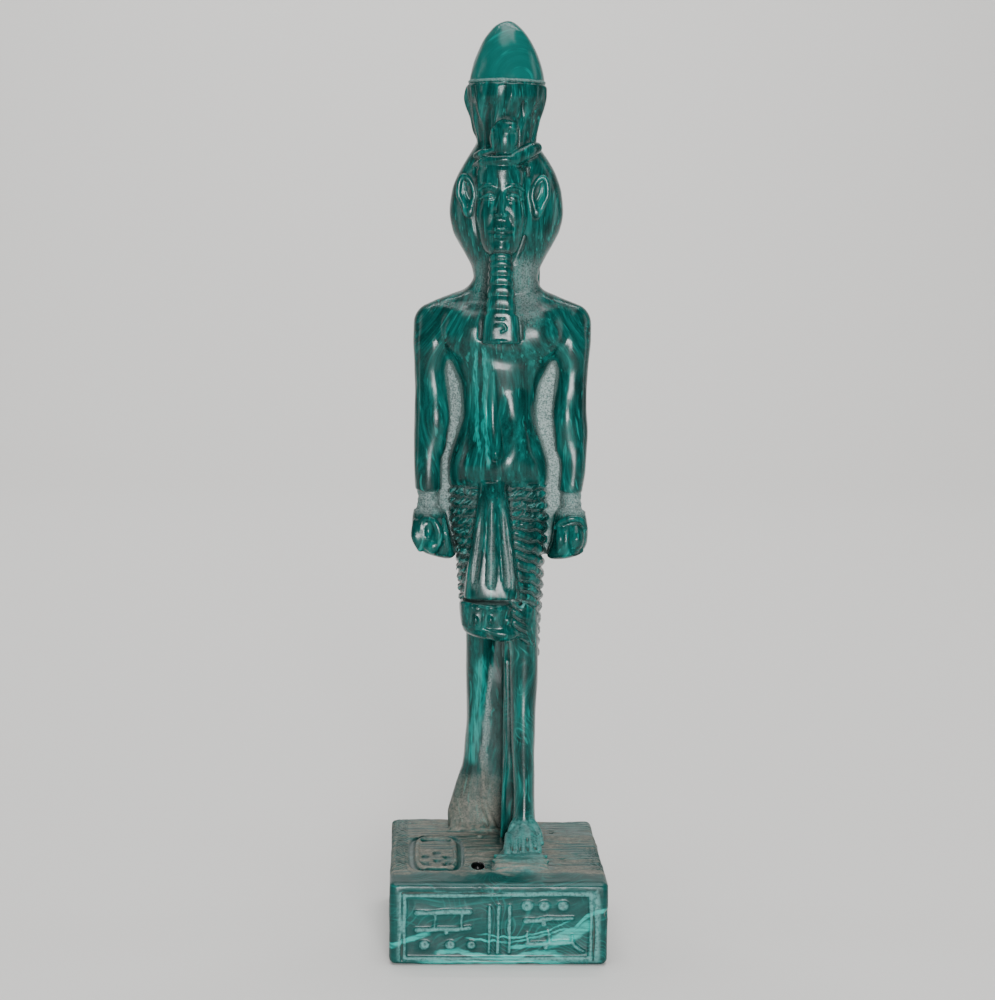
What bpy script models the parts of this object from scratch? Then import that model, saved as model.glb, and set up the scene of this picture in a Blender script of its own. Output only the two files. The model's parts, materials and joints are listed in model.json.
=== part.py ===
"""A striding royal figure with a tall crown, a false beard and a pleated kilt, on a low plinth.

It is one solid: figure, back pillar, webs and plinth are one cast piece of pressed malachite.
The plinth's sizes are in metres. The figure is a free form, so its tables are in shares of its own
height: one unit is FIGURE_HEIGHT / TABLE_HEIGHT, a millimetre at the real size. They are measured up
from the plinth's top, across from its middle towards +X, and back from its middle towards +Y.
The figure looks towards -Y, and its own right side is at -X.
"""

import math

import bmesh
import bpy
from mathutils import Euler, Matrix, Vector

# Driving dimensions, in metres
FIGURE_HEIGHT = 0.2195  # from the plinth's top to the crown's tip
FIGURE_SHIFT = 0.0009  # of the figure off the plinth's middle, towards +X
FIGURE_TURN = math.radians(-2.1)  # of the figure on the plinth, seen from above
PLINTH_WIDTH = 0.056
PLINTH_DEPTH = 0.062
PLINTH_HEIGHT = 0.0225
PLINTH_ROUNDING = 0.0012
PANEL_SIDE_MARGIN = 0.0030  # from a plinth's side to its panel's frame
PANEL_TOP_MARGIN = 0.0034
PANEL_FOOT_MARGIN = 0.0012
PANEL_FRAME = 0.0010  # width of the raised frame
PANEL_SINK = 0.0006  # depth of the field inside the frame
STROKE_WIDTH = 0.0009
STROKE_RISE = 0.0005  # of a stroke over the field
RING_LENGTH = 0.0345  # of the oval ring cut into the plinth's top
RING_WIDTH = 0.0143
RING_GROOVE = 0.0012  # width of the round groove
RING_CUT = 0.0008  # depth of the groove and of the dots inside it
RING_SIDE_MARGIN = 0.0049
RING_FRONT_MARGIN = 0.0087
PIT_RADIUS = 0.0013
PIT_INSET = 0.0129  # from the plinth's front edge
PIT_OFFSET = 0.0051  # from the plinth's middle, towards -X

TABLE_HEIGHT = 219.5
UNIT = FIGURE_HEIGHT / TABLE_HEIGHT
SUNK = -1.2  # how deep the figure's feet run into the plinth, in units
OVERLAP = 0.001  # of a raised bar into the plinth, and of a cutter past its face

# The figure's upright forms: height, across, back, half width, half depth, squareness
TORSO = (
    (95.0, -1.4, 12.5, 11.8, 8.0, 2.4),
    (97.0, -1.4, 12.0, 13.0, 9.4, 2.4),
    (99.5, -1.4, 11.6, 13.6, 10.6, 2.4),
    (103.0, -1.4, 11.3, 13.4, 11.0, 2.4),
    (107.0, -1.5, 11.4, 12.5, 10.8, 2.3),
    (112.0, -1.5, 11.8, 11.0, 9.9, 2.3),
    (117.0, -1.5, 12.1, 10.1, 9.2, 2.3),
    (123.0, -1.3, 12.0, 10.7, 9.4, 2.3),
    (129.0, -1.1, 11.8, 13.0, 10.0, 2.4),
    (134.0, -1.0, 11.7, 16.0, 10.6, 2.6),
    (139.0, -0.9, 12.0, 18.5, 10.6, 2.8),
    (143.5, -0.9, 12.6, 18.6, 9.4, 2.8),
    (146.5, -0.8, 13.2, 15.5, 8.0, 2.6),
    (149.5, -0.5, 13.4, 10.4, 7.6, 2.3),
    (152.5, -0.2, 13.0, 8.2, 7.8, 2.2),
)
RIGHT_ARM = (
    (89.6, -19.9, 9.0, 2.8, 3.6, 2.2),
    (95.4, -20.0, 9.2, 3.0, 3.9, 2.2),
    (95.8, -20.1, 9.4, 3.6, 4.6, 2.4),
    (102.0, -20.3, 9.8, 3.7, 4.9, 2.4),
    (110.0, -19.9, 10.6, 4.3, 5.4, 2.4),
    (116.0, -19.4, 11.0, 4.7, 5.6, 2.5),
    (122.0, -19.4, 11.2, 4.6, 5.6, 2.4),
    (130.0, -20.0, 11.5, 4.3, 5.8, 2.3),
    (138.0, -20.2, 11.8, 4.3, 6.2, 2.3),
    (142.0, -19.8, 12.2, 4.2, 6.0, 2.2),
    (144.6, -19.2, 12.6, 3.4, 5.0, 2.1),
    (146.4, -18.4, 13.0, 1.8, 3.2, 2.0),
)
LEFT_ARM = (
    (89.6, 18.2, 9.0, 2.5, 3.6, 2.2),
    (95.4, 18.2, 9.2, 2.7, 3.9, 2.2),
    (95.8, 18.1, 9.4, 3.2, 4.6, 2.4),
    (102.0, 18.6, 9.8, 3.5, 4.9, 2.4),
    (110.0, 18.6, 10.6, 3.9, 5.4, 2.4),
    (118.0, 17.6, 11.0, 4.5, 5.6, 2.5),
    (124.0, 17.7, 11.2, 4.4, 5.6, 2.4),
    (131.0, 18.4, 11.5, 4.1, 5.8, 2.3),
    (138.0, 18.6, 11.8, 4.3, 6.2, 2.3),
    (142.4, 18.3, 12.2, 4.3, 6.0, 2.2),
    (145.2, 17.6, 12.6, 3.4, 5.0, 2.1),
    (147.0, 16.8, 13.0, 1.8, 3.2, 2.0),
)
FRONT_LEG = (
    (SUNK, 6.6, 0.8, 3.2, 5.0, 2.1),
    (6.0, 6.6, 0.9, 3.1, 5.0, 2.1),
    (12.0, 6.6, 1.3, 2.9, 4.6, 2.1),
    (20.0, 6.4, 1.9, 3.0, 4.5, 2.1),
    (28.0, 6.1, 2.6, 3.15, 4.7, 2.1),
    (36.0, 6.1, 3.4, 3.4, 5.0, 2.1),
    (44.0, 6.1, 4.1, 3.75, 5.2, 2.2),
    (52.0, 6.0, 4.4, 3.85, 5.4, 2.2),
    (58.0, 5.6, 4.0, 4.3, 6.0, 2.2),
    (66.0, 5.0, 3.4, 4.6, 6.4, 2.2),
)
REAR_LEG = (
    (SUNK, -7.0, 23.0, 7.3, 5.2, 2.3),
    (1.2, -7.0, 23.1, 7.2, 5.1, 2.3),
    (4.0, -7.6, 23.4, 6.7, 4.7, 2.3),
    (8.0, -8.3, 23.6, 5.0, 4.4, 2.2),
    (12.0, -8.1, 23.7, 4.1, 4.3, 2.2),
    (18.0, -7.3, 23.8, 3.1, 4.3, 2.2),
    (28.0, -6.7, 23.6, 2.8, 4.6, 2.2),
    (38.0, -6.1, 23.0, 3.4, 5.0, 2.2),
    (48.0, -5.8, 22.4, 3.9, 5.4, 2.2),
    (62.0, -5.4, 21.0, 4.4, 6.0, 2.2),
)
HEADDRESS = (
    (149.0, -0.1, 12.4, 8.6, 8.0, 2.1),
    (152.0, -0.1, 12.0, 8.6, 8.2, 2.1),
    (155.0, -0.1, 11.7, 9.1, 8.6, 2.0),
    (158.3, -0.1, 11.5, 10.7, 9.4, 2.0),
    (161.5, -0.1, 11.4, 12.5, 10.2, 2.0),
    (165.0, -0.1, 11.3, 14.2, 10.9, 2.0),
    (170.0, -0.1, 11.3, 15.15, 11.2, 2.0),
    (175.0, -0.1, 11.2, 14.6, 11.0, 2.0),
    (179.5, -0.1, 11.0, 13.1, 10.4, 2.0),
    (183.4, -0.1, 10.8, 11.0, 9.6, 2.0),
    (187.0, -0.2, 10.6, 8.6, 8.4, 2.0),
    (189.0, -0.3, 10.5, 7.4, 7.2, 2.0),
)
HEAD = (
    (157.4, -1.2, 3.0, 2.4, 4.2, 2.2),
    (159.6, -1.3, 2.8, 4.0, 5.8, 2.2),
    (163.5, -1.4, 2.9, 5.4, 6.5, 2.2),
    (168.5, -1.5, 3.2, 6.3, 6.9, 2.2),
    (173.5, -1.5, 3.6, 6.7, 7.2, 2.2),
    (178.5, -1.5, 4.2, 6.6, 7.2, 2.2),
    (184.5, -1.4, 5.0, 6.2, 7.0, 2.2),
)
APRON = (
    (68.4, -2.6, -0.6, 7.6, 6.6, 4.0),
    (74.0, -2.7, -0.4, 6.9, 6.4, 4.0),
    (84.0, -2.7, 0.6, 5.4, 5.8, 4.0),
    (94.0, -2.7, 2.2, 4.2, 4.8, 3.6),
    (99.0, -2.7, 3.6, 3.8, 4.2, 3.0),
)
HEM_BLOCK = (
    (57.2, -2.0, 2.6, 4.6, 6.6, 3.0),
    (59.6, -3.6, 1.4, 6.6, 7.8, 3.4),
    (62.0, -4.0, 0.6, 6.9, 8.1, 3.6),
    (66.6, -4.2, 0.5, 7.0, 8.0, 3.6),
    (67.6, -4.2, 0.8, 6.6, 7.4, 3.6),
)
RIGHT_FIST = (
    (77.6, -14.6, 7.4, 2.2, 4.0, 2.6),
    (79.4, -16.8, 7.2, 4.4, 5.4, 2.8),
    (82.6, -18.6, 7.2, 5.2, 5.9, 2.8),
    (86.0, -19.4, 7.4, 4.9, 5.8, 2.8),
    (89.4, -19.8, 7.8, 4.3, 5.0, 2.6),
    (91.6, -19.9, 8.4, 3.3, 4.1, 2.2),
)
LEFT_FIST = (
    (77.8, 14.6, 7.4, 3.2, 4.4, 2.6),
    (79.6, 16.6, 7.2, 4.6, 5.4, 2.8),
    (82.6, 17.9, 7.2, 4.8, 5.9, 2.8),
    (86.0, 18.2, 7.4, 4.6, 5.8, 2.8),
    (89.4, 18.2, 7.8, 4.0, 5.0, 2.6),
    (91.6, 18.2, 8.4, 3.1, 4.1, 2.2),
)
KILT = (
    (48.0, 0.4, 9.4, 9.0, 13.2, 2.6),
    (58.0, 0.1, 9.6, 9.7, 14.0, 2.6),
    (68.0, -0.4, 10.0, 10.7, 13.2, 2.6),
    (78.0, -0.6, 10.6, 11.3, 12.4, 2.6),
    (90.0, -1.2, 11.2, 12.5, 11.0, 2.5),
    (98.5, -1.4, 11.6, 12.9, 9.8, 2.4),
)
# The front foot's sections run forwards: back, across, height, half width, half height, squareness
FRONT_FOOT = (
    (7.4, 6.6, 2.0, 2.8, 3.4, 2.2),
    (4.0, 6.6, 3.0, 3.3, 5.0, 2.2),
    (0.0, 6.6, 3.4, 3.6, 5.8, 2.2),
    (-3.6, 6.4, 2.8, 4.0, 5.2, 2.2),
    (-7.4, 6.2, 1.8, 4.6, 4.2, 2.4),
    (-11.0, 6.0, 1.0, 4.7, 3.0, 2.6),
)
FOOT_PAD = (
    (-23.4, 5.6, -0.6, 5.6, 0.9, 3.0),
    (-20.6, 5.8, -0.6, 7.2, 1.8, 3.0),
    (-15.0, 5.8, -0.6, 7.0, 2.8, 3.0),
    (-6.0, 6.2, -0.6, 5.6, 3.0, 3.0),
    (3.6, 6.6, -0.6, 4.4, 2.4, 3.0),
)
TOE_COUNT = 5
TOE_PITCH = 1.95
TOE_RADIUS = 1.05
FINGER_COUNT = 3
FINGER_PITCH = 2.7

# Pleats of the kilt
PLEAT_TOP = 97.0
PLEAT_PITCH = 2.55
PLEAT_COUNT = 15
PLEAT_RISE = 0.55
DROOP_RIGHT = (0.0, 1.2)  # at the waist and at the hem, on the figure's right side
DROOP_LEFT = (0.5, 8.5)
DROOP_START = math.radians(18)
DROOP_END = math.radians(84)

# The crown: a fluted basket and a smooth dome over a thin rim
CROWN_ACROSS = -0.45
CROWN_BACK = 10.0
BASKET = (
    (186.0, 7.7),
    (189.0, 8.1),
    (193.0, 9.2),
    (197.0, 10.3),
    (200.0, 11.0),
    (202.0, 10.9),
    (203.8, 9.9),
)
BASKET_FLUTES = 16
BASKET_FLUTE_DEPTH = 0.4
DOME = (
    (219.5, 0.0),
    (219.0, 1.7),
    (217.6, 3.6),
    (214.8, 6.0),
    (211.0, 8.0),
    (207.5, 9.2),
    (205.2, 9.8),
    (204.2, 9.9),
    (203.4, 9.4),
    (203.4, 0.0),
)

# The false beard: tapered plaited length over a plain block
BEARD_ACROSS = -1.15
BEARD_TOP = 159.0
BEARD_PLAIT_END = 142.8
BEARD_FOOT = 135.6
BEARD_PLAITS = 9
BEARD_PLAIT_RISE = 0.3

# The back pillar and the webs that fill between the limbs
PILLAR_ACROSS = 0.3
PILLAR_HALF_WIDTH = 8.9
PILLAR_FRONT = 18.6
PILLAR_BACK = 28.4
PILLAR_TOP = 186.5
PILLAR_SLOPE = 5.0
ARM_WEB = ((-19.0, 10.6, 78.4), (17.6, 15.2, 140.0))
REAR_WEB = ((-6.4, 20.2, SUNK), (0.6, 22.6, 60.0))
FRONT_WEB = ((0.8, 5.0, SUNK), (8.4, 22.0, 60.0))


def new_collection(name):
    collection = bpy.data.collections.new(name)
    bpy.context.scene.collection.children.link(collection)
    return collection


def malachite():
    material = bpy.data.materials.new("malachite")
    material.use_nodes = True
    shader = material.node_tree.nodes["Principled BSDF"]
    shader.inputs["Base Color"].default_value = (0.006, 0.085, 0.075, 1.0)
    shader.inputs["Roughness"].default_value = 0.25
    shader.inputs["Metallic"].default_value = 0.0
    return material


def helper(name, mesh, collection):
    """An object that a Boolean reads: it is kept out of the render."""
    thing = bpy.data.objects.new(name, mesh)
    collection.objects.link(thing)
    thing.hide_render = True
    thing.display_type = "WIRE"
    return thing


def mesh_of(name, shape):
    bmesh.ops.triangulate(shape, faces=shape.faces)
    bmesh.ops.recalc_face_normals(shape, faces=shape.faces)
    mesh = bpy.data.meshes.new(name)
    shape.to_mesh(mesh)
    shape.free()
    return mesh


def loft(name, rings):
    """A closed mesh through rings of as many points each, flat or fanned at its two ends."""
    shape = bmesh.new()
    rows = [[shape.verts.new(point) for point in ring] for ring in rings]
    for low, high in zip(rows, rows[1:]):
        for i, start in enumerate(low):
            after = (i + 1) % len(low)
            shape.faces.new((start, low[after], high[after], high[i]))
    for row in (rows[0], rows[-1]):
        middle = shape.verts.new(sum((vert.co for vert in row), Vector()) / len(row))
        for i, vert in enumerate(row):
            shape.faces.new((vert, row[(i + 1) % len(row)], middle))
    return mesh_of(name, shape)


def oval(half_width, half_depth, squareness, angle):
    """A point of a superellipse: squareness 2 is an ellipse, and more is boxier."""
    across = math.copysign(abs(math.cos(angle)) ** (2 / squareness), math.cos(angle))
    back = math.copysign(abs(math.sin(angle)) ** (2 / squareness), math.sin(angle))
    return half_width * across, half_depth * back


def between(rows, height):
    """The section of a table at any height, straight between its rows."""
    for low, high in zip(rows, rows[1:]):
        if height <= high[0]:
            break
    share = min(max((height - low[0]) / (high[0] - low[0]), 0.0), 1.0)
    return [a + share * (b - a) for a, b in zip(low, high)]


def angles(sides):
    return [math.tau * i / sides for i in range(sides)]


def upright(name, rows, sides):
    rings = []
    for height, across, back, half_width, half_depth, squareness in rows:
        points = [oval(half_width, half_depth, squareness, angle) for angle in angles(sides)]
        rings.append([Vector((across + x, back + y, height)) for x, y in points])
    return loft(name, rings)


def lengthwise(name, rows, sides):
    rings = []
    for back, across, height, half_width, half_height, squareness in rows:
        points = [oval(half_width, half_height, squareness, angle) for angle in angles(sides)]
        rings.append([Vector((across + x, back, height + z)) for x, z in points])
    return loft(name, rings)


def ball(name, centre, radii, tilt=(0.0, 0.0, 0.0), segments=10):
    shape = bmesh.new()
    place = Matrix.LocRotScale(Vector(centre), Euler([math.radians(turn) for turn in tilt]), Vector(radii))
    rings = segments // 2 + 1
    bmesh.ops.create_uvsphere(shape, u_segments=segments, v_segments=rings, radius=1.0, matrix=place)
    return mesh_of(name, shape)


def block(name, low, high):
    shape = bmesh.new()
    low = Vector(low)
    high = Vector(high)
    place = Matrix.LocRotScale((low + high) / 2, None, high - low)
    bmesh.ops.create_cube(shape, size=1.0, matrix=place)
    return mesh_of(name, shape)


def strand(name, points, radii, closed=False):
    """A round strand through the points, as a mesh, thicker and thinner as its radii say."""
    curve = bpy.data.curves.new(name, "CURVE")
    curve.dimensions = "3D"
    curve.bevel_depth = 1.0
    curve.bevel_resolution = 1
    curve.use_fill_caps = True
    spline = curve.splines.new("POLY")
    spline.points.add(len(points) - 1)
    spline.use_cyclic_u = closed
    for place, point, radius in zip(spline.points, points, radii):
        place.co = (*point, 1.0)
        place.radius = radius
    guide = bpy.data.objects.new(name, curve)
    bpy.context.scene.collection.objects.link(guide)
    bpy.context.view_layer.update()
    made = bpy.data.meshes.new_from_object(guide.evaluated_get(bpy.context.evaluated_depsgraph_get()))
    bpy.data.objects.remove(guide)
    shape = bmesh.new()
    shape.from_mesh(made)
    bmesh.ops.remove_doubles(shape, verts=shape.verts, dist=0.0001)
    return mesh_of(name, shape)


def arc(centre, radii, first, last, count):
    """Points of an elliptic arc in the plane that faces the front, angles in degrees from +X upwards."""
    turns = [math.radians(first + (last - first) * i / (count - 1)) for i in range(count)]
    x, y, z = centre
    return [(x + radii[0] * math.cos(turn), y, z + radii[1] * math.sin(turn)) for turn in turns]


def kilt():
    """Rings that lie along the pleats, which droop away from the apron: a fold's crest, then its root."""
    sides = 16
    rings = []
    for i in range(2 * PLEAT_COUNT, -1, -1):
        share = i / (2 * PLEAT_COUNT)
        start = PLEAT_TOP - PLEAT_PITCH * i / 2
        rise = PLEAT_RISE if i % 2 else 0.0
        ring = []
        for angle in angles(sides):
            from_front = abs(math.remainder(angle + math.pi / 2, math.tau))
            side = min(max((from_front - DROOP_START) / (DROOP_END - DROOP_START), 0.0), 1.0)
            waist, hem = DROOP_LEFT if math.cos(angle) > 0 else DROOP_RIGHT
            height = start - side * (waist + (hem - waist) * share)
            _, across, back, half_width, half_depth, squareness = between(KILT, height)
            x, y = oval(half_width + rise, half_depth + rise, squareness, angle)
            ring.append(Vector((across + x, back + y, height)))
        rings.append(ring)
    return loft("kilt", rings)


def basket():
    sides = 2 * BASKET_FLUTES
    rings = []
    for height, radius in BASKET:
        ring = []
        for angle in angles(sides):
            reach = radius + BASKET_FLUTE_DEPTH * math.cos(BASKET_FLUTES * angle)
            across = CROWN_ACROSS + reach * math.cos(angle)
            back = CROWN_BACK + reach * math.sin(angle)
            ring.append(Vector((across, back, height)))
        rings.append(ring)
    return loft("basket", rings)


def dome(collection):
    """The crown's smooth top, turned about its upright axis from the profile."""
    mesh = bpy.data.meshes.new("dome")
    profile = [(radius, 0.0, height) for height, radius in DOME]
    mesh.from_pydata(profile, [(i, i + 1) for i in range(len(profile) - 1)], [])
    thing = helper("dome", mesh, collection)
    screw = thing.modifiers.new("turn", "SCREW")
    screw.steps = 20
    screw.render_steps = screw.steps
    screw.use_merge_vertices = True
    screw.merge_threshold = 0.0001
    thing.location = (CROWN_ACROSS, CROWN_BACK, 0.0)
    return thing


def beard():
    rings = []
    rows = 2 * BEARD_PLAITS
    for i in range(rows + 1):
        share = i / rows
        height = BEARD_TOP + share * (BEARD_PLAIT_END - BEARD_TOP)
        rise = BEARD_PLAIT_RISE if i % 2 else 0.0
        rings.append((height, 2.4 + 1.5 * share + rise, 3.6 + rise, -1.0 - 0.3 * share))
    rings.append((BEARD_PLAIT_END - 0.5, 4.4, 4.1, -1.2))
    rings.append((BEARD_FOOT + 0.6, 5.1, 4.6, -1.2))
    rings.append((BEARD_FOOT, 4.6, 4.2, -1.0))
    rows = [(height, BEARD_ACROSS, back, wide, deep, 2.6) for height, wide, deep, back in reversed(rings)]
    return upright("beard", rows, 10)


def toe(number):
    """The great toe is at the figure's inner side, and each one after it is shorter and thinner."""
    across = 2.55 + number * TOE_PITCH
    size = TOE_RADIUS * (1.25 - 0.1 * number)
    back = -11.6 + 0.75 * number
    return ball(f"toe_{number + 1}", (across, back, 2.1), (size, 2.7, 1.5 * size), (12, 0, 0), 8)


def ear(name, across, lean):
    """A flat shell with a thick rim, set against the headdress and facing forwards."""
    centre = (across, 1.6, 173.8)
    turns = angles(10)
    rim = []
    for turn in turns:
        x = 2.0 * math.cos(turn)
        z = 5.2 * math.sin(turn)
        rim.append((centre[0] + x + lean * z, centre[1] - 0.6, centre[2] + z))
    shell = ball(f"{name}_shell", (across, 3.0, 173.8), (2.2, 2.2, 5.2), (0, math.degrees(math.atan(lean)), 0), 8)
    return [shell, strand(f"{name}_rim", rim, [0.75] * len(rim), closed=True)]


def face():
    """A calm, even face by the usual thirds: brow, base of the nose, chin."""
    middle = -1.5
    parts = [
        strand("nose", [(middle, -2.2, 175.4), (middle, -4.2, 171.0), (middle, -5.0, 168.4)], [0.8, 1.1, 1.5]),
        ball("nostrils", (middle, -3.8, 168.0), (2.0, 1.6, 0.9), segments=8),
        ball("upper_lip", (middle, -3.5, 164.7), (2.3, 1.0, 0.62), segments=8),
        ball("lower_lip", (middle, -3.4, 163.5), (1.9, 1.0, 0.62), segments=8),
        ball("chin", (middle, -2.0, 160.3), (2.3, 1.8, 1.6), segments=8),
    ]
    for side in (-1, 1):
        across = middle + side * 3.1
        parts.append(ball(f"eye_{side + 2}", (across, -2.5, 173.1), (1.75, 1.2, 0.8), segments=8))
        brow = arc((across, -2.9, 174.0), (2.5, 1.5), 150 if side > 0 else 30, 30 if side > 0 else 150, 5)
        curved = [(x, y + 0.28 * abs(x - middle) - 0.35, z) for x, y, z in brow]
        parts.append(strand(f"brow_{side + 2}", curved, [0.3, 0.45, 0.45, 0.4, 0.25]))
    return parts


def uraeus():
    """The cobra on the crown's front: raised hood, head, and a coil that runs to the figure's left."""
    band = [(-7.8, 1.2, 182.6), (-5.0, -2.0, 182.9), (-1.4, -3.3, 183.0), (3.0, -2.2, 182.9)]
    return [
        ball("hood", (-1.0, -0.6, 188.6), (3.7, 2.4, 4.9), (14, 0, 0), 12),
        ball("hood_head", (-0.4, -3.0, 191.8), (1.6, 1.8, 1.3), segments=8),
        ball("hood_knob", (-3.7, -1.6, 190.2), (0.9, 1.0, 0.9), segments=6),
        strand("coil", [(-1.2, -2.2, 182.6), (4.0, -1.6, 184.0), (8.4, 2.4, 186.0)], [1.5, 1.8, 1.5]),
        strand("brow_band", band, [0.9] * len(band)),
    ]


def fingers(name, across):
    """Curled fingers as upright rolls over the fist's front, and the thumb across their top."""
    rolls = []
    for i in range(FINGER_COUNT):
        x = across + FINGER_PITCH * (i - (FINGER_COUNT - 1) / 2)
        rolls.append(ball(f"{name}_finger_{i + 1}", (x, 2.3, 83.4), (1.5, 1.9, 3.7), segments=8))
    rolls.append(ball(f"{name}_thumb", (across, 2.6, 87.9), (4.1, 2.0, 1.5), segments=8))
    return rolls


def pillar():
    """An upright slab from the plinth to the headdress, its top sloped down towards the back."""
    left = PILLAR_ACROSS - PILLAR_HALF_WIDTH
    right = PILLAR_ACROSS + PILLAR_HALF_WIDTH
    shape = bmesh.new()
    place = Matrix.LocRotScale(
        Vector(((left + right) / 2, (PILLAR_FRONT + PILLAR_BACK) / 2, (SUNK + PILLAR_TOP) / 2)),
        None,
        Vector((right - left, PILLAR_BACK - PILLAR_FRONT, PILLAR_TOP - SUNK)),
    )
    made = bmesh.ops.create_cube(shape, size=1.0, matrix=place)
    for vert in made["verts"]:
        if vert.co.z > SUNK + 1.0 and vert.co.y > PILLAR_FRONT + 1.0:
            vert.co.z -= PILLAR_SLOPE
    return mesh_of("pillar", shape)


def figure_meshes():
    meshes = [
        upright("torso", TORSO, 16),
        upright("right_arm", RIGHT_ARM, 12),
        upright("left_arm", LEFT_ARM, 12),
        upright("front_leg", FRONT_LEG, 12),
        upright("rear_leg", REAR_LEG, 12),
        upright("headdress", HEADDRESS, 16),
        upright("head", HEAD, 12),
        upright("apron", APRON, 12),
        upright("hem_block", HEM_BLOCK, 12),
        upright("right_fist", RIGHT_FIST, 10),
        upright("left_fist", LEFT_FIST, 10),
        lengthwise("front_foot", FRONT_FOOT, 12),
        lengthwise("foot_pad", FOOT_PAD, 12),
        kilt(),
        basket(),
        beard(),
        pillar(),
        block("arm_web", *ARM_WEB),
        block("rear_web", *REAR_WEB),
        block("front_web", *FRONT_WEB),
        ball("right_breast", (-8.6, 3.6, 138.0), (7.6, 3.6, 5.4), segments=12),
        ball("left_breast", (6.8, 3.6, 138.0), (7.6, 3.6, 5.4), segments=12),
    ]
    meshes += [toe(number) for number in range(TOE_COUNT)]
    meshes += ear("right_ear", -10.4, -0.12)
    meshes += ear("left_ear", 8.2, 0.12)
    meshes += face()
    meshes += uraeus()
    meshes += fingers("right", -19.2)
    meshes += fingers("left", 18.0)
    return meshes


def flute_cutters():
    """Three dished flutes down the apron, each wider at its round lower end, and the belly's groove."""
    cutters = []
    for name, top, foot in (("right", -5.2, -7.6), ("middle", -2.9, -2.9), ("left", -0.7, 1.9)):
        middle = (top + foot) / 2
        path = [(top, -3.0, 95.0), (middle, -5.6, 84.0), (foot, -7.4, 75.0), (foot, -7.4, 71.6)]
        cutters.append(strand(f"{name}_flute", path, [0.5, 0.9, 1.4, 0.9]))
    groove = [(-1.4, 1.6, 129.0), (-1.4, 2.6, 122.0), (-1.4, 2.6, 117.0), (-1.4, 1.6, 111.0), (-1.4, 0.6, 107.0)]
    cutters.append(strand("belly_groove", groove, [0.5, 1.1, 1.4, 1.5, 1.6]))
    return cutters


def plinth_mesh():
    low = Vector((-PLINTH_WIDTH / 2, -PLINTH_DEPTH / 2, 0.0))
    high = Vector((PLINTH_WIDTH / 2, PLINTH_DEPTH / 2, PLINTH_HEIGHT))
    shape = bmesh.new()
    bmesh.ops.create_cube(shape, size=1.0, matrix=Matrix.LocRotScale((low + high) / 2, None, high - low))
    rounded = [edge for edge in shape.edges if max(vert.co.z for vert in edge.verts) > PLINTH_HEIGHT / 2]
    bmesh.ops.bevel(shape, geom=rounded, offset=PLINTH_ROUNDING, segments=2, affect="EDGES", profile=0.5)
    return mesh_of("statue", shape)


def panel_size(length):
    """Half the width, the foot and the top of the field inside the frame of a side this long."""
    half = length / 2 - PANEL_SIDE_MARGIN - PANEL_FRAME
    foot = PANEL_FOOT_MARGIN + PANEL_FRAME
    top = PLINTH_HEIGHT - PANEL_TOP_MARGIN - PANEL_FRAME
    return half, foot, top


def panel_fields():
    """Cutters that sink a field into the plinth's front and its two sides."""
    cutters = []
    half, foot, top = panel_size(PLINTH_WIDTH)
    front = -PLINTH_DEPTH / 2
    cutters.append(block("front_field", (-half, front - OVERLAP, foot), (half, front + PANEL_SINK, top)))
    half, foot, top = panel_size(PLINTH_DEPTH)
    for name, side in (("right", -1), ("left", 1)):
        face_at = side * PLINTH_WIDTH / 2
        near = face_at - side * PANEL_SINK
        far = face_at + side * OVERLAP
        cutters.append(block(f"{name}_field", (min(near, far), -half, foot), (max(near, far), half, top)))
    return cutters


def stroke(name, centre, width, height):
    """One plain raised bar on the front field, placed by its middle."""
    x, z = centre
    field = -PLINTH_DEPTH / 2 + PANEL_SINK
    low = (x - width / 2, field - STROKE_RISE, z - height / 2)
    high = (x + width / 2, field + OVERLAP, z + height / 2)
    return block(name, low, high)


def strokes():
    """Rows of plain strokes on the front field: long bars, short bars and a group of upright ones."""
    half, foot, top = panel_size(PLINTH_WIDTH)
    tall = top - foot
    block_width = 0.56 * half
    meshes = []
    for side in (-1, 1):
        middle = side * 0.60 * half
        for row in range(2):
            level = foot + tall * (0.74 - 0.26 * row if side < 0 else 0.58 - 0.32 * row)
            meshes.append(stroke(f"long_{side + 2}_{row + 1}", (middle, level), block_width, STROKE_WIDTH))
        level = foot + tall * (0.18 if side < 0 else 0.84)
        for i in range(3):
            x = middle + (i - 1) * 0.42 * block_width
            meshes.append(stroke(f"short_{side + 2}_{i + 1}", (x, level), 0.22 * block_width, 1.6 * STROKE_WIDTH))
    for i in range(3):
        centre = ((i - 1) * 2.9 * STROKE_WIDTH, (foot + top) / 2)
        meshes.append(stroke(f"upright_{i + 1}", centre, STROKE_WIDTH, 0.8 * tall))
    return meshes


def ring_cutters():
    """The oval ring in the plinth's top: a groove round it and four shallow dots inside."""
    left = -PLINTH_WIDTH / 2 + RING_SIDE_MARGIN
    front = -PLINTH_DEPTH / 2 + RING_FRONT_MARGIN
    middle = Vector((left + RING_WIDTH / 2, front + RING_LENGTH / 2, PLINTH_HEIGHT))
    rim = []
    for angle in angles(20):
        x, y = oval(RING_WIDTH / 2, RING_LENGTH / 2, 4.0, angle)
        rim.append((middle.x + x, middle.y + y, middle.z + RING_GROOVE / 2 - RING_CUT))
    groove = strand_metres("ring_groove", rim, RING_GROOVE)
    dots = []
    for i, (x, y) in enumerate(((-0.18, -0.26), (0.18, -0.26), (-0.18, 0.12), (0.18, 0.12))):
        place = Matrix.LocRotScale(
            middle + Vector((x * RING_WIDTH, y * RING_LENGTH, 0.0)),
            None,
            Vector((0.10 * RING_WIDTH, 0.09 * RING_LENGTH, RING_CUT)),
        )
        shape = bmesh.new()
        bmesh.ops.create_uvsphere(shape, u_segments=8, v_segments=4, radius=1.0, matrix=place)
        dots.append(mesh_of(f"dot_{i + 1}", shape))
    return [groove, *dots]


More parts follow.
